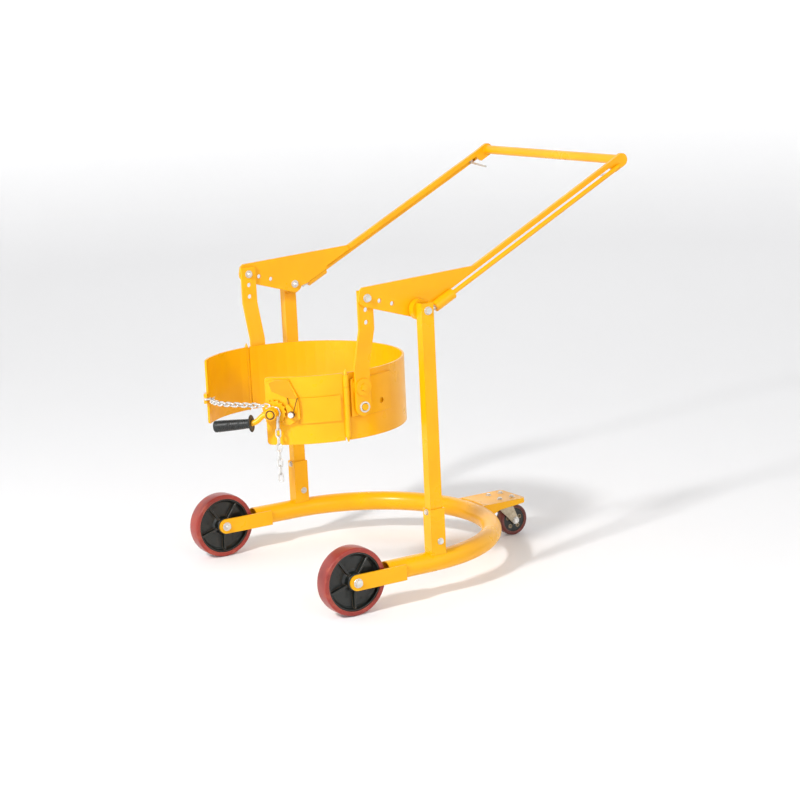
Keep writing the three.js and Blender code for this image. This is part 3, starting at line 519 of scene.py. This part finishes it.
def evenly(path, step):
    path = [Vector(p) for p in path]
    lengths = [0.0]
    for a, b in zip(path, path[1:]):
        lengths.append(lengths[-1] + (b - a).length)
    count = max(2, round(lengths[-1] / step))
    result, k = [], 0
    for i in range(count + 1):
        goal = lengths[-1] * i / count
        while k < len(path) - 2 and lengths[k + 1] < goal:
            k += 1
        span = lengths[k + 1] - lengths[k] or 1
        result.append(path[k].lerp(path[k + 1], min(1, (goal - lengths[k]) / span)))
    return result


# wheels

frontWheel = {
    "tyreEdge": 4.5, "crown": 0.8, "tyreInside": 86, "rimLip": 7, "web": 6,
    "hubRadius": 26, "hubHalf": 29, "ribTop": 20, "ribHalf": 3.0, "ribs": 5, "firstRib": 54,
}


def tyreShell(centre, radius, inside, half, edge, crown):
    profile = [(inside, -half + 0.0015)]
    for i in range(5):
        a = math.pi / 2 * i / 4
        profile.append((radius - crown - edge + edge * math.sin(a), -half + edge - edge * math.cos(a)))
    profile += [(radius, -half * 0.4), (radius, half * 0.4)]
    for i in range(5):
        a = math.pi / 2 * (1 - i / 4)
        profile.append((radius - crown - edge + edge * math.sin(a), half - edge + edge * math.cos(a)))
    profile.append((inside, half - 0.0015))
    return turnedShell(profile, centre, (0, 1, 0), 96)


def ribShell(centre, angle, inner, outer, low, high, halfWidth, side):
    # thicker at its root, lower towards the rim
    points = []
    for r, top in ((inner, high), (outer, high * 0.9)):
        for y, w in ((low, halfWidth * 1.35), (top, halfWidth)):
            for s in (-1, 1):
                points.append(Vector((r, side * y, s * w)))
    faces = [[0, 1, 3, 2], [4, 6, 7, 5], [0, 2, 6, 4], [1, 5, 7, 3], [2, 3, 7, 6], [0, 4, 5, 1]]
    if side < 0:
        faces = [f[::-1] for f in faces]
    turn = Matrix.Translation(centre) @ Matrix.Rotation(-math.radians(angle), 4, "Y")
    return moveShell((points, faces), turn)


def wheelCasting(w, centre, half):
    # hub, web and rim are one turned shape, with ribs on both faces
    rim, outer = w["tyreInside"] / 1000 - 0.0002, half - 0.0028
    lip, web, hub, hubHalf = (w[key] / 1000 for key in ("rimLip", "web", "hubRadius", "hubHalf"))
    profile = [
        (0.0073, -hubHalf),
        (hub - 0.003, -hubHalf),
        (hub, 0.002 - hubHalf),
        (hub + 0.002, -web - 0.004),
        (hub + 0.008, -web),
        (rim - lip - 0.006, -web),
        (rim - lip, -web - 0.005),
        (rim - lip + 0.002, -outer),
        (rim - 0.0015, -outer),
        (rim, -outer + 0.0015),
    ]
    profile += [(r, -y) for r, y in reversed(profile)]
    shells = [turnedShell(profile, centre, (0, 1, 0), 96)]
    rib = (hub - 0.001, rim - lip + 0.001, web - 0.001, w["ribTop"] / 1000, w["ribHalf"] / 1000)
    for face in (-1, 1):
        for i in range(w["ribs"]):
            angle = w["firstRib"] + 360 / w["ribs"] * i
            shells.append(ribShell(centre, angle, *rib, face))
    return joinShells(*shells)


def hubBushes(centre):
    bush = [(0.0072, -0.0294), (0.0135, -0.0294), (0.0135, -0.0285), (0.0072, -0.0285)]
    shells = []
    for face in (-1, 1):
        profile = [(r, face * y) for r, y in bush][::face]
        shells.append(turnedShell(profile, centre, (0, 1, 0), 40))
    return joinShells(*shells)


def frontWheelPieces(w):
    inside, edge, crown = w["tyreInside"] / 1000, w["tyreEdge"] / 1000, w["crown"] / 1000
    for side in ("near", "far"):
        low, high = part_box("tyre_" + side)
        centre = (low + high) / 2
        radius, half = (high.z - low.z) / 2, (high.y - low.y) / 2
        body = "wheel_" + side
        tyre = tyreShell(centre, radius, inside, half, edge, crown)
        newPiece("tyre_tread_" + side, *tyre, body, "tyre_red", replaces=("tyre_" + side,), corner=50)
        newPiece("wheel_casting_" + side, *wheelCasting(w, centre, half), body, "wheel_core",
                 replaces=("wheel_core_" + side,), corner=30, bevel=0.0009)
        newPiece("wheel_bush_" + side, *hubBushes(centre), body, "fork_zinc")


frontWheelPieces(frontWheel)

casterWheel = {
    "inside": 39, "edge": 4, "crown": 0.5, "swivelX": 687, "bushes": 5, "firstBush": 18, "bushCircle": 24,
    "bush": ((4.5, 13.4), (6.2, 13.4), (6.6, 12.8)),  # radius and half width of a bush, from its bore out
    "race": ((20, 0), (29, 0), (31, 3), (31, 7), (29, 10), (20, 10)),
}


def casterPieces(c):
    low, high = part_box("caster_tyre")
    centre = (low + high) / 2
    radius, half = (high.z - low.z) / 2, (high.y - low.y) / 2
    tyre = tyreShell(centre, radius, c["inside"] / 1000, half, c["edge"] / 1000, c["crown"] / 1000)
    newPiece("caster_tread", *tyre, "caster_wheel", "tyre_red", material=smallTyreRubber,
             replaces=("caster_tyre",), corner=50)
    # a bright bush in each hole of the drilled core
    ring = [(r / 1000, -y / 1000) for r, y in c["bush"]]
    ring += [(r, -y) for r, y in reversed(ring)]
    shells = []
    for i in range(c["bushes"]):
        a = math.radians(c["firstBush"] + 360 / c["bushes"] * i)
        spot = centre + Vector((math.cos(a), 0, math.sin(a))) * c["bushCircle"] / 1000
        shells.append(turnedShell(ring, spot, (0, 1, 0), 24))
    newPiece("caster_bushes", *joinShells(*shells), "caster_wheel", "fork_zinc", corner=30)
    pivotX, top = place(c["swivelX"], 0, 0).x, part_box("caster_mount")[0].z
    profile = [(r / 1000, z / 1000) for r, z in c["race"]]
    race = turnedShell(profile, (pivotX, 0, top + 0.0005), (0, 0, 1), 56)
    newPiece("caster_race", *race, "base", "fork_zinc", corner=30)
    kingNut = hexNut(Vector((pivotX, 0, top - 0.0155)), (0, 0, 1), 0.008, 0.007)
    newPiece("caster_king_nut", *kingNut, "caster_swivel", "zinc", corner=25)


# fasteners


def hexNut(start, axis, radius, height, chamfer=0.12):
    # a hexagon with its corners turned off, from start to start + axis * height
    axis = Vector(axis).normalized()
    side = Vector((0, 0, 1)) if abs(axis.z) < 0.9 else Vector((1, 0, 0))
    other = axis.cross(side).normalized()
    across = radius * 1.75
    flat = across * math.cos(math.pi / 6)
    steps = 24
    rows = ((0, flat), (height * chamfer, across), (height * (1 - chamfer), across), (height, flat))
    points, faces = [], []
    for along, limit in rows:
        for i in range(steps):
            a = 2 * math.pi * i / steps
            r = min(flat / math.cos((a % (math.pi / 3)) - math.pi / 6), limit)
            points.append(start + axis * along + r * (math.cos(a) * side + math.sin(a) * other))
    for k in range(len(rows) - 1):
        low, high = steps * k, steps * (k + 1)
        for i in range(steps):
            j = (i + 1) % steps
            faces.append([low + i, low + j, high + j, high + i])
    faces.append(list(range(steps))[::-1])
    faces.append(list(range(len(points) - steps, len(points))))
    return points, faces


def washerShell(start, axis, radius, height=0.0018):
    profile = [(radius * 1.02, 0), (radius * 2.1, 0), (radius * 2.15, height * 0.3)]
    profile += [(radius * 2.15, height * 0.7), (radius * 2.1, height), (radius * 1.02, height)]
    return turnedShell(profile, start, axis, 40)


def threadShell(start, axis, radius, length, pitch=0.0015):
    profile = [(0, 0), (radius * 0.9, 0)]
    turns = max(2, int(length / pitch))
    for i in range(turns):
        profile += [(radius, (i + 0.35) * length / turns), (radius * 0.88, (i + 0.85) * length / turns)]
    profile += [(radius * 0.85, length), (0, length)]
    return turnedShell(profile, start, axis, 28)


# each bolt's radius and the height of its head and nut, in millimetres
bolts = {
    "axle_bolt": {"radius": 7, "head": 9, "nut": 10, "body": "base"},
    "socket_bolt": {"radius": 5, "head": 6, "nut": 7, "body": "base"},
    "pivot_bolt": {"radius": 6, "head": 9, "nut": 9, "body": "base"},
    "lift_bolt": {"radius": 6, "head": 9, "nut": 9, "body": "lever"},
}


def boltShells(low, high, radius, head, nut, outward):
    # the head looks outward, the nut the other way
    x, z = (low.x + high.x) / 2, (low.z + high.z) / 2
    outEnd, inEnd = (high.y, low.y) if outward > 0 else (low.y, high.y)
    axis = Vector((0, outward, 0))
    headStart = Vector((x, outEnd - outward * head, z))
    nutStart = Vector((x, inEnd + outward * nut, z))
    shank = sweptShell([headStart, nutStart - axis * nut * 0.25], radius * 0.96, 24)
    thick = min(head, nut) * 0.17
    return joinShells(
        hexNut(headStart + axis * thick, axis, radius * 0.98, head - thick),
        washerShell(headStart, axis, radius * 0.93, thick),
        hexNut(nutStart - axis * thick, -axis, radius * 0.98, nut * 0.75 - thick),
        washerShell(nutStart, -axis, radius * 0.93, thick),
        threadShell(nutStart - axis * nut * 0.7, -axis, radius * 0.92, nut * 0.3),
        shank,
    )


def boltPieces(kinds):
    for kind, b in kinds.items():
        for side, s in sides:
            node = f"{kind}_{side}"
            shell = boltShells(*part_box(node), b["radius"] / 1000, b["head"] / 1000, b["nut"] / 1000, s)
            newPiece(node.replace("bolt", "screw"), *shell, b["body"], "zinc", replaces=(node,), corner=25)
    low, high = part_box("caster_axle")
    newPiece("caster_screw", *boltShells(low, high, 0.006, 0.006, 0.006, -1), "caster_swivel", "zinc",
             replaces=("caster_axle",), corner=25)


boltPieces(bolts)
casterPieces(casterWheel)

plateScrews = {"alongX": 46, "alongY": 64, "centre": 687, "radius": 4, "height": 5}


def plateScrewPieces(p):
    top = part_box("outrigger")[1].z
    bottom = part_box("caster_mount")[1].z - 0.004
    radius, height = p["radius"] / 1000, p["height"] / 1000
    shells = []
    for dx in (-1, 1):
        for dy in (-1, 1):
            spot = place(p["centre"] + dx * p["alongX"] / 2, dy * p["alongY"] / 2, 0)
            up, down = Vector((spot.x, spot.y, top)), Vector((spot.x, spot.y, bottom))
            shells.append(washerShell(up, (0, 0, 1), radius, 0.0012))
            shells.append(hexNut(up + Vector((0, 0, 0.0012)), (0, 0, 1), radius, height))
            shells.append(hexNut(down, (0, 0, -1), radius, height))
            shells.append(threadShell(down - Vector((0, 0, 0.0045)), (0, 0, -1), radius, 0.005))
    newPiece("caster_plate_screws", *joinShells(*shells), "base", "zinc", corner=25)


plateScrewPieces(plateScrews)

clampScrews = {"half": 404, "belowTop": 9, "radius": 4.2, "height": 5, "washer": 1}


def clampScrewPieces(c):
    radius, washer = c["radius"] / 1000, c["washer"] / 1000
    forward = Vector((-1, 0, 0))
    for side, s in sides:
        low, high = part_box("socket_" + side)
        spot = Vector((low.x, s * c["half"] / 1000, high.z - c["belowTop"] / 1000))
        head = hexNut(spot + forward * washer, forward, radius, c["height"] / 1000)
        shell = joinShells(washerShell(spot, forward, radius, washer), head)
        newPiece("socket_clamp_screw_" + side, *shell, "base", "zinc", corner=25)


clampScrewPieces(clampScrews)
print("wheels and fasteners made")

# tubes

baseTube = {"radius": 30, "wall": 3, "z": 104, "half": 404, "front": 8, "arcX": 164}


def baseTubePiece(t):
    near = [place(t["front"] + (t["arcX"] - t["front"]) * i / 14, -t["half"], t["z"]) for i in range(14)]
    bend = arcPoints(place(t["arcX"], 0, t["z"]), t["half"] / 1000, -90, 90, 90)
    far = [Vector((p.x, -p.y, p.z)) for p in reversed(near)]
    shell = sweptShell(near + bend + far, t["radius"] / 1000, 40, bore=(t["radius"] - t["wall"]) / 1000)
    newPiece("base_hoop", *shell, "base", "yellow_paint", replaces=("base_tube",), corner=50)


baseTubePiece(baseTube)


handleTube = {"wall": 2.5, "bead": 2.2, "beadOut": 1, "inset": 0.8}


def handlePiece(h):
    low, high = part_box("handle_bar")
    centre, radius = (low + high) / 2, (high.z - low.z) / 2
    ends = [Vector((centre.x, y, centre.z)) for y in (low.y, high.y)]
    shell = sweptShell(evenly(ends, 0.03), radius, 40, bore=radius - h["wall"] / 1000)
    newPiece("handle_tube", *shell, "lever", "yellow_paint", replaces=("handle_bar",), corner=50)
    for side, s in sides:
        middle = (centre.x, s * (high.y - h["inset"] / 1000), centre.z)
        ring = arcPoints(middle, radius + h["beadOut"] / 1000, 0, 356, 60, "xz")
        weldBead("handle_weld_" + side, ring, "lever", h["bead"] / 1000)


handlePiece(handleTube)


# grip and ratchet

axisIn = Vector(joints["ratchet_turn"]["axis"])
ratchetOut = -axisIn  # points out from the drum
ratchetBack = Vector((-ratchetOut.y, ratchetOut.x, 0))  # runs back round the drum


def ratchetPlace(u, out, z):  # millimetres: round the drum, out from its axis, up
    level = Vector((drumX, 0, 0)) + ratchetBack * u / 1000 + ratchetOut * out / 1000
    return level + Vector((0, 0, z / 1000))


gripSize = {
    "start": (-54, 354, 552.5), "slope": 5.3, "length": 113.4,
    "flange": 24.8, "root": 13, "end": 16.9, "rings": 16,
}


def gripPiece(g):
    slope = math.radians(g["slope"])
    along = (-ratchetBack * math.cos(slope) - Vector((0, 0, math.sin(slope)))).normalized()
    flange, root, end, length = g["flange"], g["root"], g["end"], g["length"]
    profile = [(0, 0.0), (flange - 1.5, 0.0), (flange, 1.2), (flange - 0.5, 3.0)]
    profile += [(root + 5, 4.4), (root + 1, 8)]
    for i in range(g["rings"]):  # the rings grow towards the end
        share = (i + 1) / (g["rings"] + 1)
        r = root + (end - root) * share ** 0.7
        at = 10 + (length - 20) * share
        profile += [(r, at - 2.2), (r, at + 1.2), (r - 0.55, at + 1.9), (r - 0.55, at + 2.8)]
    profile += [(end, length - 8), (end - 0.6, length - 3), (end - 3.5, length - 0.6)]
    profile += [(end - 6, length), (0, length)]
    shell = turnedShell([(r / 1000, a / 1000) for r, a in profile], ratchetPlace(*g["start"]), along, 48)
    newPiece("crank_grip", *shell, "ratchet", "grip", replaces=("ratchet_grip",), corner=35)


gripPiece(gripSize)

crank = {
    "radius": 8, "z": 576, "out": 344,
    "bar": ((-8, 0, 0), (-24, 1, -4), (-39, 7, -17), (-54, 10, -23.5), (-84, 10, -26.3)),
    "hub": ((8.3, -8), (15.5, -8), (17, -6.5), (17, 6.5), (15.5, 8), (8.3, 8)),
    "snapRing": ((10.2, 8.0), (13.8, 8.0), (13.8, 8.6), (10.2, 8.6)),
    "cap": ((0, 7.0), (10, 7.0), (10, 8.2), (9, 9.6), (6, 10.4), (0, 10.5)),
}


def crankPiece(c):
    centre = ratchetPlace(0, c["out"], c["z"])

    def turned(key):
        profile = [(r / 1000, a / 1000) for r, a in c[key]]
        return turnedShell(profile, centre, ratchetOut, 56)

    knots = [ratchetPlace(u, c["out"] + out, c["z"] + z) for u, out, z in c["bar"]]
    lever = joinShells(sweptShell(smoothPath(knots, 10), c["radius"] / 1000, 24), turned("hub"))
    newPiece("crank_lever", *lever, "ratchet", "yellow_paint", replaces=("ratchet_lever",), corner=40)
    newPiece("crank_snap_ring", *turned("snapRing"), "ratchet", "zinc", material=springSteel, corner=30)
    newPiece("crank_cap", *turned("cap"), "ratchet", "yellow_paint", corner=60)


def smoothPath(knots, perSpan):
    result = []
    for i in range(len(knots) - 1):
        p0, p1, p2, p3 = knots[max(0, i - 1)], knots[i], knots[i + 1], knots[min(len(knots) - 1, i + 2)]
        for k in range(perSpan):
            t = k / perSpan
            result.append(0.5 * (2 * p1 + (p2 - p0) * t + (2 * p0 - 5 * p1 + 4 * p2 - p3) * t ** 2
                                 + (3 * p1 - p0 - 3 * p2 + p3) * t ** 3))
    return result + [knots[-1]]


crankPiece(crank)

pawlSpring = {
    "nut": (52, 318, 570), "nutOut": 320.5, "left": (42, 311, 613.5), "right": (68.5, 311, 613.5),
    "wire": 1.3, "coil": 8.6, "turns": 3, "rise": 2.8, "firstAngle": 200,
}


def pawlSpringPiece(p):
    u, out, z = p["nut"]
    left, right = p["left"], p["right"]
    knots = [ratchetPlace(left[0] - 3, left[1] - 4, left[2] + 2), ratchetPlace(*left)]
    steps = p["turns"] * 18
    for i in range(steps + 1):
        a = math.radians(p["firstAngle"]) + 2 * math.pi * (p["turns"] - 0.45) * i / steps
        climb = p["rise"] * p["turns"] * i / steps
        knots.append(ratchetPlace(u + p["coil"] * math.cos(a), out - 6 + climb, z + p["coil"] * math.sin(a)))
    knots += [ratchetPlace(*right), ratchetPlace(right[0] + 2, right[1] - 4, right[2] + 2)]
    wire = sweptShell(evenly(knots, 0.0015), p["wire"] / 1000, 8)
    newPiece("pawl_spring", *wire, "left_wing", "zinc", material=springSteel, corner=180)
    nut = hexNut(ratchetPlace(u, p["nutOut"], z), ratchetOut, 0.0052, 0.006)
    newPiece("pawl_nut", *nut, "ratchet_pawl", "zinc", corner=25)


pawlSpringPiece(pawlSpring)

housingPress = {
    "outline": ((-15, 659), (6.5, 668), (44, 668), (68, 612), (39, 616), (-6, 634)),
    "face": 306.3, "rise": 1.6,
}


def housingPiece(h):
    # a raised field on the ratchet's housing, drawn in towards its middle
    outline, face, rise = h["outline"], h["face"], h["rise"]
    count = len(outline)
    centreU = sum(u for u, z in outline) / count
    centreZ = sum(z for u, z in outline) / count
    layers = ((face - 0.5, 1.0), (face + rise * 0.6, 0.97), (face + rise, 0.9))
    points = []
    for out, share in layers:
        for u, z in outline:
            spot = (centreU + (u - centreU) * share, out, centreZ + (z - centreZ) * share)
            points.append(ratchetPlace(*spot))
    faces = [list(range(count)), list(range(2 * count, 3 * count))[::-1]]
    for k in range(len(layers) - 1):
        low, high = count * k, count * (k + 1)
        for i in range(count):
            j = (i + 1) % count
            faces.append([low + j, low + i, high + i, high + j])
    # the field is painted a darker yellow, as painted shade on a facet that turns away from the light
    newPiece("housing_field", points, faces, "left_wing", "yellow_paint",
             material=paintedShadeYellow, corner=20, bevel=0.0004)


housingPiece(housingPress)
print("grip and ratchet made")

# chain

chain = {
    "pitch": 20.4, "wire": 2.4, "halfWidth": 6.4, "wrap": 288, "centreX": 12, "fall": 34, "z": 592,
    "lugAngle": 141, "lugOut": 301, "lugGap": 15, "band": 294, "short": 52, "steps": 80,
    "spoolOut": 326, "spoolZ": 576, "spoolRadius": 16.6, "tailU": 13, "tailTop": 551, "tailEnd": 378,
}


def linkShell(centre, along, across, c):
    # two straight sides joined by half circles
    along, across = along.normalized(), across.normalized()
    r = c["halfWidth"] / 1000
    halfSide = (c["pitch"] + 2 * c["wire"]) / 2000 - r
    path = []
    for end in (1, -1):
        for i in range(9):
            a = math.pi * i / 8 - math.pi / 2
            path.append(centre + end * (along * (halfSide + r * math.cos(a)) + across * r * math.sin(a)))
    return sweptShell(path, c["wire"] / 1000, 10, closed=True)


def chainShells(path, c, firstRoll, outward):
    # each link is turned a quarter from the last
    pitch = c["pitch"] / 1000
    total = sum((b - a).length for a, b in zip(path, path[1:]))
    count = max(1, round(total / pitch))
    knots = evenly(path, total / count)
    shells = []
    for i in range(count):
        a, b = knots[i], knots[i + 1]
        along = (b - a).normalized()
        middle = (a + b) / 2
        out = outward(middle)
        flat = (out - along * out.dot(along)).normalized()
        roll = math.radians(firstRoll + 90 * (i % 2))
        shells.append(linkShell(middle, along, Matrix.Rotation(roll, 3, along) @ flat, c))
    return joinShells(*shells)


def outFromDrum(point):
    return Vector((point.x - drumX, point.y, 0)).normalized()


def spanPath(c):
    # round the drum from the far lug, then straight towards the spool
    wrap = c["wrap"] / 1000
    wrapStart = math.radians(c["lugAngle"]) + c["lugGap"] / c["band"]
    spool = ratchetPlace(0, c["spoolOut"], c["spoolZ"])
    x, y = spool.x - drumX - c["centreX"] / 1000, spool.y
    reach = math.hypot(x, y)
    wrapEnd = math.atan2(y, x) + 2 * math.pi - math.acos(wrap / reach)
    straight = math.sqrt(reach ** 2 - wrap ** 2) - c["short"] / 1000
    total = wrap * (wrapEnd - wrapStart) + straight
    points = []
    for i in range(c["steps"] + 1):
        s = total * i / c["steps"]
        a = min(wrapStart + s / wrap, wrapEnd)
        rest = max(0.0, s - wrap * (wrapEnd - wrapStart))
        px = wrap * math.cos(a) - rest * math.sin(a) + c["centreX"] / 1000 + drumX
        py = wrap * math.sin(a) + rest * math.cos(a)
        points.append(Vector((px, py, (c["z"] - c["fall"] * (1 - i / c["steps"])) / 1000)))
    return points


def spoolPath(c, start):
    # up onto the spool, a quarter turn over it, and down to the loose end
    out, z, radius = c["spoolOut"], c["spoolZ"], c["spoolRadius"]
    path = [start, ratchetPlace(-22, 315, 594.5), ratchetPlace(-6, 323.5, 593.4)]
    for i in range(7):
        a = math.radians(90 - 90 * i / 6)
        path.append(ratchetPlace(radius * math.cos(a), out, z + radius * math.sin(a)))
    return path + [ratchetPlace(14.6, out, 563), ratchetPlace(c["tailU"], out, c["tailTop"])]


def hookPath(c, span):
    angle = math.radians(c["lugAngle"])
    out = Vector((math.cos(angle), math.sin(angle), 0))
    along = Vector((-math.sin(angle), math.cos(angle), 0))
    lugEnd = Vector((drumX, 0, 0)) + out * c["lugOut"] / 1000 + Vector((0, 0, span[0].z))
    return [
        lugEnd + along * 0.002,
        lugEnd + along * 0.018,
        span[0].lerp(lugEnd, 0.35) + along * 0.010,
        span[0] + (span[1] - span[0]) * 0.2,
    ]


def outFromWing(point):
    return ratchetOut


def chainPieces(c):
    span = spanPath(c)
    newPiece("chain_round_drum", *chainShells(span, c, 45, outFromDrum), "drum_chain", "zinc",
             replaces=("chain_span",), corner=180)
    overSpool = chainShells(smoothPath(spoolPath(c, span[-1]), 4), c, 0, outFromWing)
    newPiece("chain_over_spool", *overSpool, "left_wing", "zinc", corner=180)
    tail = [ratchetPlace(c["tailU"], c["spoolOut"], z) for z in (c["tailTop"], c["tailEnd"])]
    newPiece("chain_loose_end", *chainShells(tail, c, 0, outFromWing), "loose_chain", "zinc",
             replaces=("chain_tail",), corner=180)
    hook = sweptShell(smoothPath(hookPath(c, span), 8), 0.0034, 12)
    newPiece("chain_hook", *hook, "right_wing", "zinc", corner=60)


chainPieces(chain)
print("chain made")

# welds


welds = {
    "thick": 2.6, "plate": 2.4, "thin": 2.0, "socketHalf": 19, "tubeTop": 30.2,
    "sidePlateOut": 301.2, "sidePlateAngles": (66, 92), "bossAngles": (-62, 238), "hoopOutside": 434.2,
}


def forkWelds(w, side, s):
    for face, d in (("outer", 1), ("inner", -1)):
        low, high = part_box(f"fork_plate_{side}_{face}")
        y = low.y if d * s > 0 else high.y
        seam = [Vector((high.x + 0.0005, y + s * d * 0.001, z / 1000)) for z in range(94, 116, 3)]
        weldBead(f"fork_weld_{side}_{face}", seam, "base", w["thick"] / 1000)


def socketWelds(w, side, s):
    # a bead where each face of the socket meets the round tube
    low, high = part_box("socket_" + side)
    half, top = w["socketHalf"] / 1000, w["tubeTop"] / 1000
    for x, tag in ((low.x, "front"), (high.x, "back")):
        seam = []
        for i in range(25):
            dy = -half + 2 * half * i / 24
            rise = math.sqrt(top ** 2 - dy ** 2)
            seam.append(Vector((x, s * baseTube["half"] / 1000 + dy, baseTube["z"] / 1000 + rise)))
        weldBead(f"socket_weld_{side}_{tag}", seam, "base", w["thick"] / 1000)


def bossWeld(w, side, s):
    low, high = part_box("pivot_boss_" + side)
    centre, radius = (low + high) / 2, (high.z - low.z) / 2
    face = high.y if s > 0 else low.y
    ring = arcPoints((centre.x, face - s * 0.001, centre.z), radius * 0.86, *w["bossAngles"], 80, "xz")
    seam = [p for p in ring if abs(p.x - centre.x) < 0.0195 and p.z < centre.z]
    if len(seam) > 3:
        weldBead("boss_weld_" + side, seam, "base", w["thin"] / 1000)


def sidePlateWelds(w, side, s):
    low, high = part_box("side_plate_" + side)
    first, last = w["sidePlateAngles"]
    angles = (first, last) if s > 0 else (-last, -first)
    for z, tag in ((low.z, "low"), (high.z, "high")):
        seam = arcPoints(place(0, 0, z * 1000), w["sidePlateOut"] / 1000, *angles, 40)
        weldBead(f"side_plate_weld_{side}_{tag}", seam, "saddle", w["thin"] / 1000)


def outriggerWeld(w, side, s):
    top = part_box("outrigger")[1].z + 0.0004
    seam = []
    for y in range(2, 62, 4):
        spot = place(baseTube["arcX"] + math.sqrt(w["hoopOutside"] ** 2 - y ** 2) + 1, y * s, 0)
        seam.append(Vector((spot.x - 0.016, spot.y, top)))
    weldBead("outrigger_weld_" + side, seam, "base", w["plate"] / 1000)


for side, s in sides:
    for makeWelds in (forkWelds, socketWelds, bossWeld, sidePlateWelds):
        makeWelds(welds, side, s)
for side, s in sides:
    outriggerWeld(welds, side, s)
print("welds made")

# carried-over nodes

softCorners = {  # millimetres, for nodes whose names start so
    "fork_plate": 1.2, "socket": 1.0, "upright": 2.2, "outrigger": 1.6, "caster_mount": 0.6,
    "caster_fork": 0.8, "lever_plate": 0.9, "latch_sleeve": 0.8, "lever_arm": 1.4, "latch_guide": 0.5,
    "latch_rod": 0.4, "pivot_boss": 1.0, "drop_link": 1.0, "lock_pin": 0.8, "lock_ring": 0.6,
    "saddle_band": 0.9, "wing": 0.9, "hinge_pin": 0.5, "side_plate": 1.2, "trunnion": 0.9,
    "ratchet_bracket": 1.0, "ratchet_wheel": 0.4, "pawl": 0.4,
}
slotOfNode = {part["node"]: part["material_slot"] for part in frame["record"]["subparts"]}


def finishNode(name):
    node = nodes[name]
    mesh = node.data
    if "custom_normal" in mesh.attributes:
        mesh.attributes.remove(mesh.attributes["custom_normal"])
    mesh.shade_smooth()
    mesh.materials.clear()
    mesh.materials.append(slotMaterials[slotOfNode[name]])
    weld = node.modifiers.new("shared corners", "WELD")
    weld.merge_threshold = 0.00002
    width = next((w for start, w in softCorners.items() if name.startswith(start)), 0.6)
    roundEdges(node, width / 1000)


for name in nodes:
    if not nodes[name].hide_render:
        finishNode(name)
print("nodes finished")

# floor and light

studio = {
    "floor": (0.92, 0.92, 0.925, 1), "sky": (1.0, 1.0, 1.0, 1), "skyStrength": 0.34,
    "flat": 7.5, "bend": 3.5, "height": 9.0, "wallGlow": 0.5, "glowHeight": 1.5,
}
# name: place, size and power of each soft lamp
lamps = {
    "key": ((-4.2, -1.6, 3.7), 0.5, 215),
    "fill": ((0.8, -5.0, 2.4), 3.0, 26),
    "back": ((3.0, 4.5, 5.0), 4.0, 30),
}


def floorShape(s):
    # a round sheet of pale paper that bends up on every side
    profile = [(s["flat"], 0.0)]
    for i in range(1, 13):
        a = math.pi / 2 * i / 12
        profile.append((s["flat"] + s["bend"] * math.sin(a), s["bend"] * (1 - math.cos(a))))
    profile.append((s["flat"] + s["bend"], s["height"]))
    points, faces = [Vector((0, 0, 0))], []
    count = 96
    for radius, height in profile:
        for i in range(count):
            a = 2 * math.pi * i / count
            points.append(Vector((radius * math.cos(a), radius * math.sin(a), height)))
    for i in range(count):
        j = (i + 1) % count
        faces.append([0, 1 + i, 1 + j])
        for k in range(len(profile) - 1):
            low, high = 1 + k * count, 1 + (k + 1) * count
            faces.append([low + i, high + i, high + j, low + j])
    return points, faces


def floorPaper(s):
    material, tree, sockets = newMaterial("floorPaper", 0.0, specular=0.1)
    sockets["Base Color"].default_value = s["floor"]
    sockets["Roughness"].default_value = 0.9
    # the bent-up wall glows a little, so that it stays as pale as the floor
    height = addNode(tree, "ShaderNodeSeparateXYZ", (-500, -200))
    coords = addNode(tree, "ShaderNodeTexCoord", (-700, -200))
    tree.links.new(coords.outputs["Object"], height.inputs[0])
    glow = remap(tree, height.outputs["Z"], 0.0, s["glowHeight"], 0.0, 1.0, (-300, -200))
    glowing = mixColor(tree, glow, (0, 0, 0, 1), (1, 1, 1, 1), (-100, -200))
    tree.links.new(glowing, sockets["Emission Color"])
    sockets["Emission Strength"].default_value = s["wallGlow"]
    return material


def makeFloor(s):
    mesh = bpy.data.meshes.new("floor")
    points, faces = floorShape(s)
    mesh.from_pydata([tuple(p) for p in points], [], faces)
    mesh.shade_smooth()
    mesh.materials.append(floorPaper(s))
    floor = bpy.data.objects.new("floor", mesh)
    bpy.context.scene.collection.objects.link(floor)


def makeLight(s, kinds):
    world = bpy.data.worlds.new("studio")
    bpy.context.scene.world = world
    world.use_nodes = True
    sky = world.node_tree.nodes["Background"].inputs
    sky["Color"].default_value = s["sky"]
    sky["Strength"].default_value = s["skyStrength"]
    for name, (spot, size, power) in kinds.items():
        data = bpy.data.lights.new(name, "AREA")
        data.size = size
        data.energy = power
        lamp = bpy.data.objects.new(name, data)
        lamp.location = spot
        towards = Vector((0, 0, 0.4)) - Vector(spot)
        lamp.rotation_euler = towards.to_track_quat("-Z", "Y").to_euler()
        bpy.context.scene.collection.objects.link(lamp)
    bpy.context.scene.view_settings.view_transform = "Standard"


makeFloor(studio)
makeLight(studio, lamps)
print("studio made")
